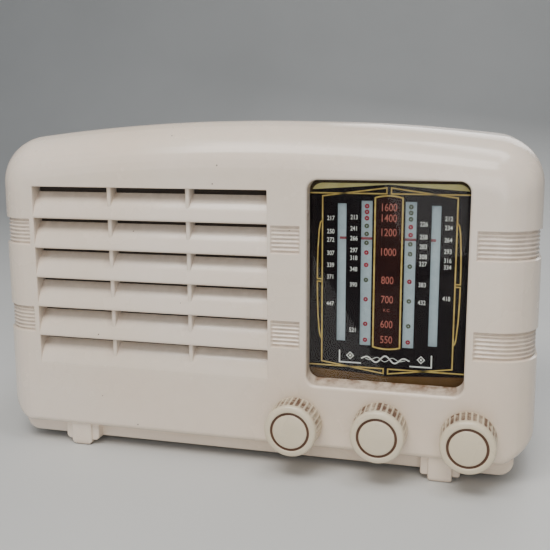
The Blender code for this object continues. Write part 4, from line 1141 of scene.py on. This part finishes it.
COIL_Y = 80.2
lead = [(LEAD_X, 60.0, LEAD_Z), (LEAD_X, 70.0, LEAD_Z), (LEAD_X, 75.5, LEAD_Z),
        (-99.6, 79.0, 41), (-99, COIL_Y, 43)]
for i in range(145):        # two turns, each 7.4 mm further in
    angle = radians(215 + 360 * i / 72)
    inward = 7.4 * i / 72
    lead.append((2 + (92 - inward) * cos(angle), COIL_Y, 104 + (50 - inward) * sin(angle)))
lead += [(-44, 80.6, 88), (-34, 83.0, 98), (-27, 84.2, 103), (-20.5, 84.2, 104)]
put("mains_lead_braided", tube(lead, radius=3.2, sides=18), BRAID, sharp=60,
    replaces="mains_lead")

plug_rings = []
for k in range(15):
    share = k / 14
    ease = 3.2 * (1 - sqrt(max(0, 1 - (2 * share - 1) ** 4)))
    plug_rings.append(at_depth(rounded(-20 + ease, 22 - ease, 87 + ease, 121 - ease, 9),
                               75.2 + 17.6 * share))
SLEEVE = ((0, -3), (4.6, -3), (5.2, 0), (5.0, 4), (4.2, 7), (0, 7))
sleeve = lathe(SLEEVE, (0, 0, 0), steps=32, along="Z")
sleeve.transform(Matrix.Translation(Vector((-22.5 * MM, 84.2 * MM, 104 * MM)))
                 @ Matrix.Rotation(pi / 2, 4, "Y"))
plug = merge([loft(plug_rings), sleeve])
paint(plug, lambda x, y, z: 0.12)
put("mains_plug_body", plug, PLUG, sharp=50, replaces="mains_plug")
pins = [loft([[(x, y, z) for y, z in rect(83.2, 84.8, z0, z1)] for x in (20, 38.8)])
        for z0, z1 in ((96, 101.5), (106.5, 112))]
put("mains_plug_blades", merge(pins), BRASS, bevel=0.5)
GROMMET = ((3.5, 73.3), (6.8, 73.3), (7.2, 74.0), (6.8, 75.0), (5.4, 75.6), (3.9, 75.2),
           (3.5, 74.4))
put("lead_grommet", lathe(GROMMET, (LEAD_X, 0, LEAD_Z), steps=40), PLUG,
    sharp=60)


# ---- finishes for the CAD nodes that keep their own shape ----------------
def numbered(stem, count):
    return "".join(f" {stem}_{i}" for i in range(1, count + 1))


FINISHES = (
    (CLOTH, "grille_cloth"),
    (FIBRE, "speaker_baffle"),
    (STEEL, "speaker_frame pointer_rail tuning_spindle volume_control tone_control chassis"),
    (CONE, "speaker_cone speaker_surround"),
    (CORE, "speaker_magnet output_transformer mains_transformer"),
    (REFLECTOR_GLOW, "dial_plate"),
    (POINTER_GLOW, "dial_pointer"),
    (ALU, "tuning_drum gang_frame gang_rotor volume_shaft tone_shaft filter_capacitor"
     + numbered("if_can", 2)),
    (CORD, "dial_cord"),
    (BRASS, "pulley_upper pulley_lower spindle_bush volume_nut tone_nut"
     + numbered("speaker_screw", 4) + numbered("cover_screw", 4)
     + numbered("chassis_bolt", 2)),
    (WRAP, "mains_transformer_coil aerial_coil"),
    (VALVE, "dial_lamp" + numbered("valve", 4)),
    (PHENOL, numbered("valve_socket", 4)))
for material, nodes in FINISHES:
    for node in nodes.split():
        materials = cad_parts[node].data.materials
        materials.clear()
        materials.append(material)


# ---- stage, light and camera, in metres ----------------------------------
def add_floor():
    """Floor that sweeps up into a wall behind the radio."""
    paint_tree = Tree("floor_paint")
    cloud = paint_tree.ramp(paint_tree.noise(scale=3, detail=3))
    color = paint_tree.mix(cloud, srgb(206, 206, 203), srgb(200, 200, 197))
    paint_tree.set(color=color, rough=0.55)
    profile = [(-3.0, 0.0), (1.2, 0.0)]
    for i in range(1, 17):
        angle = pi / 2 * i / 16
        profile.append((1.2 + 0.8 * sin(angle), 0.8 - 0.8 * cos(angle)))
    profile.append((2.0, 3.5))
    build = bmesh.new()
    left, right = [[build.verts.new((x, y, z)) for y, z in profile] for x in (-4.0, 4.0)]
    for i in range(len(profile) - 1):
        build.faces.new((left[i], right[i], right[i + 1], left[i + 1]))
    mesh = to_mesh(build, outward=False)
    floor = add_object("studio_floor", mesh)
    mesh.name = "studio_floor"
    mesh.materials.append(paint_tree.mat)
    mesh.shade_smooth()
    floor.location.z = -0.0002


add_floor()
world = bpy.data.worlds.new("soft_room")
bpy.context.scene.world = world
world.use_nodes = True
background = world.node_tree.nodes["Background"]
background.inputs["Color"].default_value = (0.80, 0.86, 0.95, 1)
background.inputs["Strength"].default_value = 0.30


def area(name, location, target, size, power, color=(1, 1, 1)):
    light = bpy.data.lights.new(name, "AREA")
    light.shape = "RECTANGLE"
    light.size, light.size_y = size
    light.energy = power
    light.color = color
    obj = add_object(name, light)
    obj.location = location
    aim = Vector(target) - Vector(location)
    obj.rotation_euler = aim.to_track_quat("-Z", "Y").to_euler()


area("key", location=(-0.10, -0.66, 1.15), target=(0, -0.05, 0.12), size=(0.8, 0.5),
     power=11.5, color=(1.0, 0.975, 0.945))
area("front", location=(0.27, -1.5, 0.55), target=(0.05, 0, 0.1), size=(0.9, 0.9),
     power=7.0, color=(1.0, 0.98, 0.97))
area("lamp", location=(0.30, -0.15, 1.25), target=(0.1, 0, 0.15), size=(0.25, 0.6),
     power=3.6, color=(0.97, 0.985, 1.0))
area("back", location=(0.3, 1.3, 0.9), target=(0, 0, 0.1), size=(1.0, 0.8), power=7)

lens = bpy.data.cameras.new("camera")
lens.lens = 52.46
lens.sensor_width = 36.0
lens.sensor_fit = "HORIZONTAL"
lens.clip_start = 0.01
camera = add_object("camera", lens)
PITCH, YAW, TILT = radians(10.57), radians(14.93), radians(-0.27)   # down, left, roll


def turn(x, y, z):
    """Direction in the camera's own frame, pitched and then yawed into the room."""
    ahead, up = cos(PITCH) * y + sin(PITCH) * z, -sin(PITCH) * y + cos(PITCH) * z
    return Vector((cos(YAW) * x - sin(YAW) * ahead, sin(YAW) * x + cos(YAW) * ahead, up))


pose = Matrix.Identity(4)
axes = (turn(cos(TILT), 0, sin(TILT)), turn(-sin(TILT), 0, cos(TILT)), -turn(0, 1, 0))
for column, axis in enumerate(axes):
    for row in range(3):
        pose[row][column] = axis[row]
pose.translation = Vector((0.13474, -0.51076, 0.20078))
camera.matrix_world = pose
bpy.context.scene.camera = camera

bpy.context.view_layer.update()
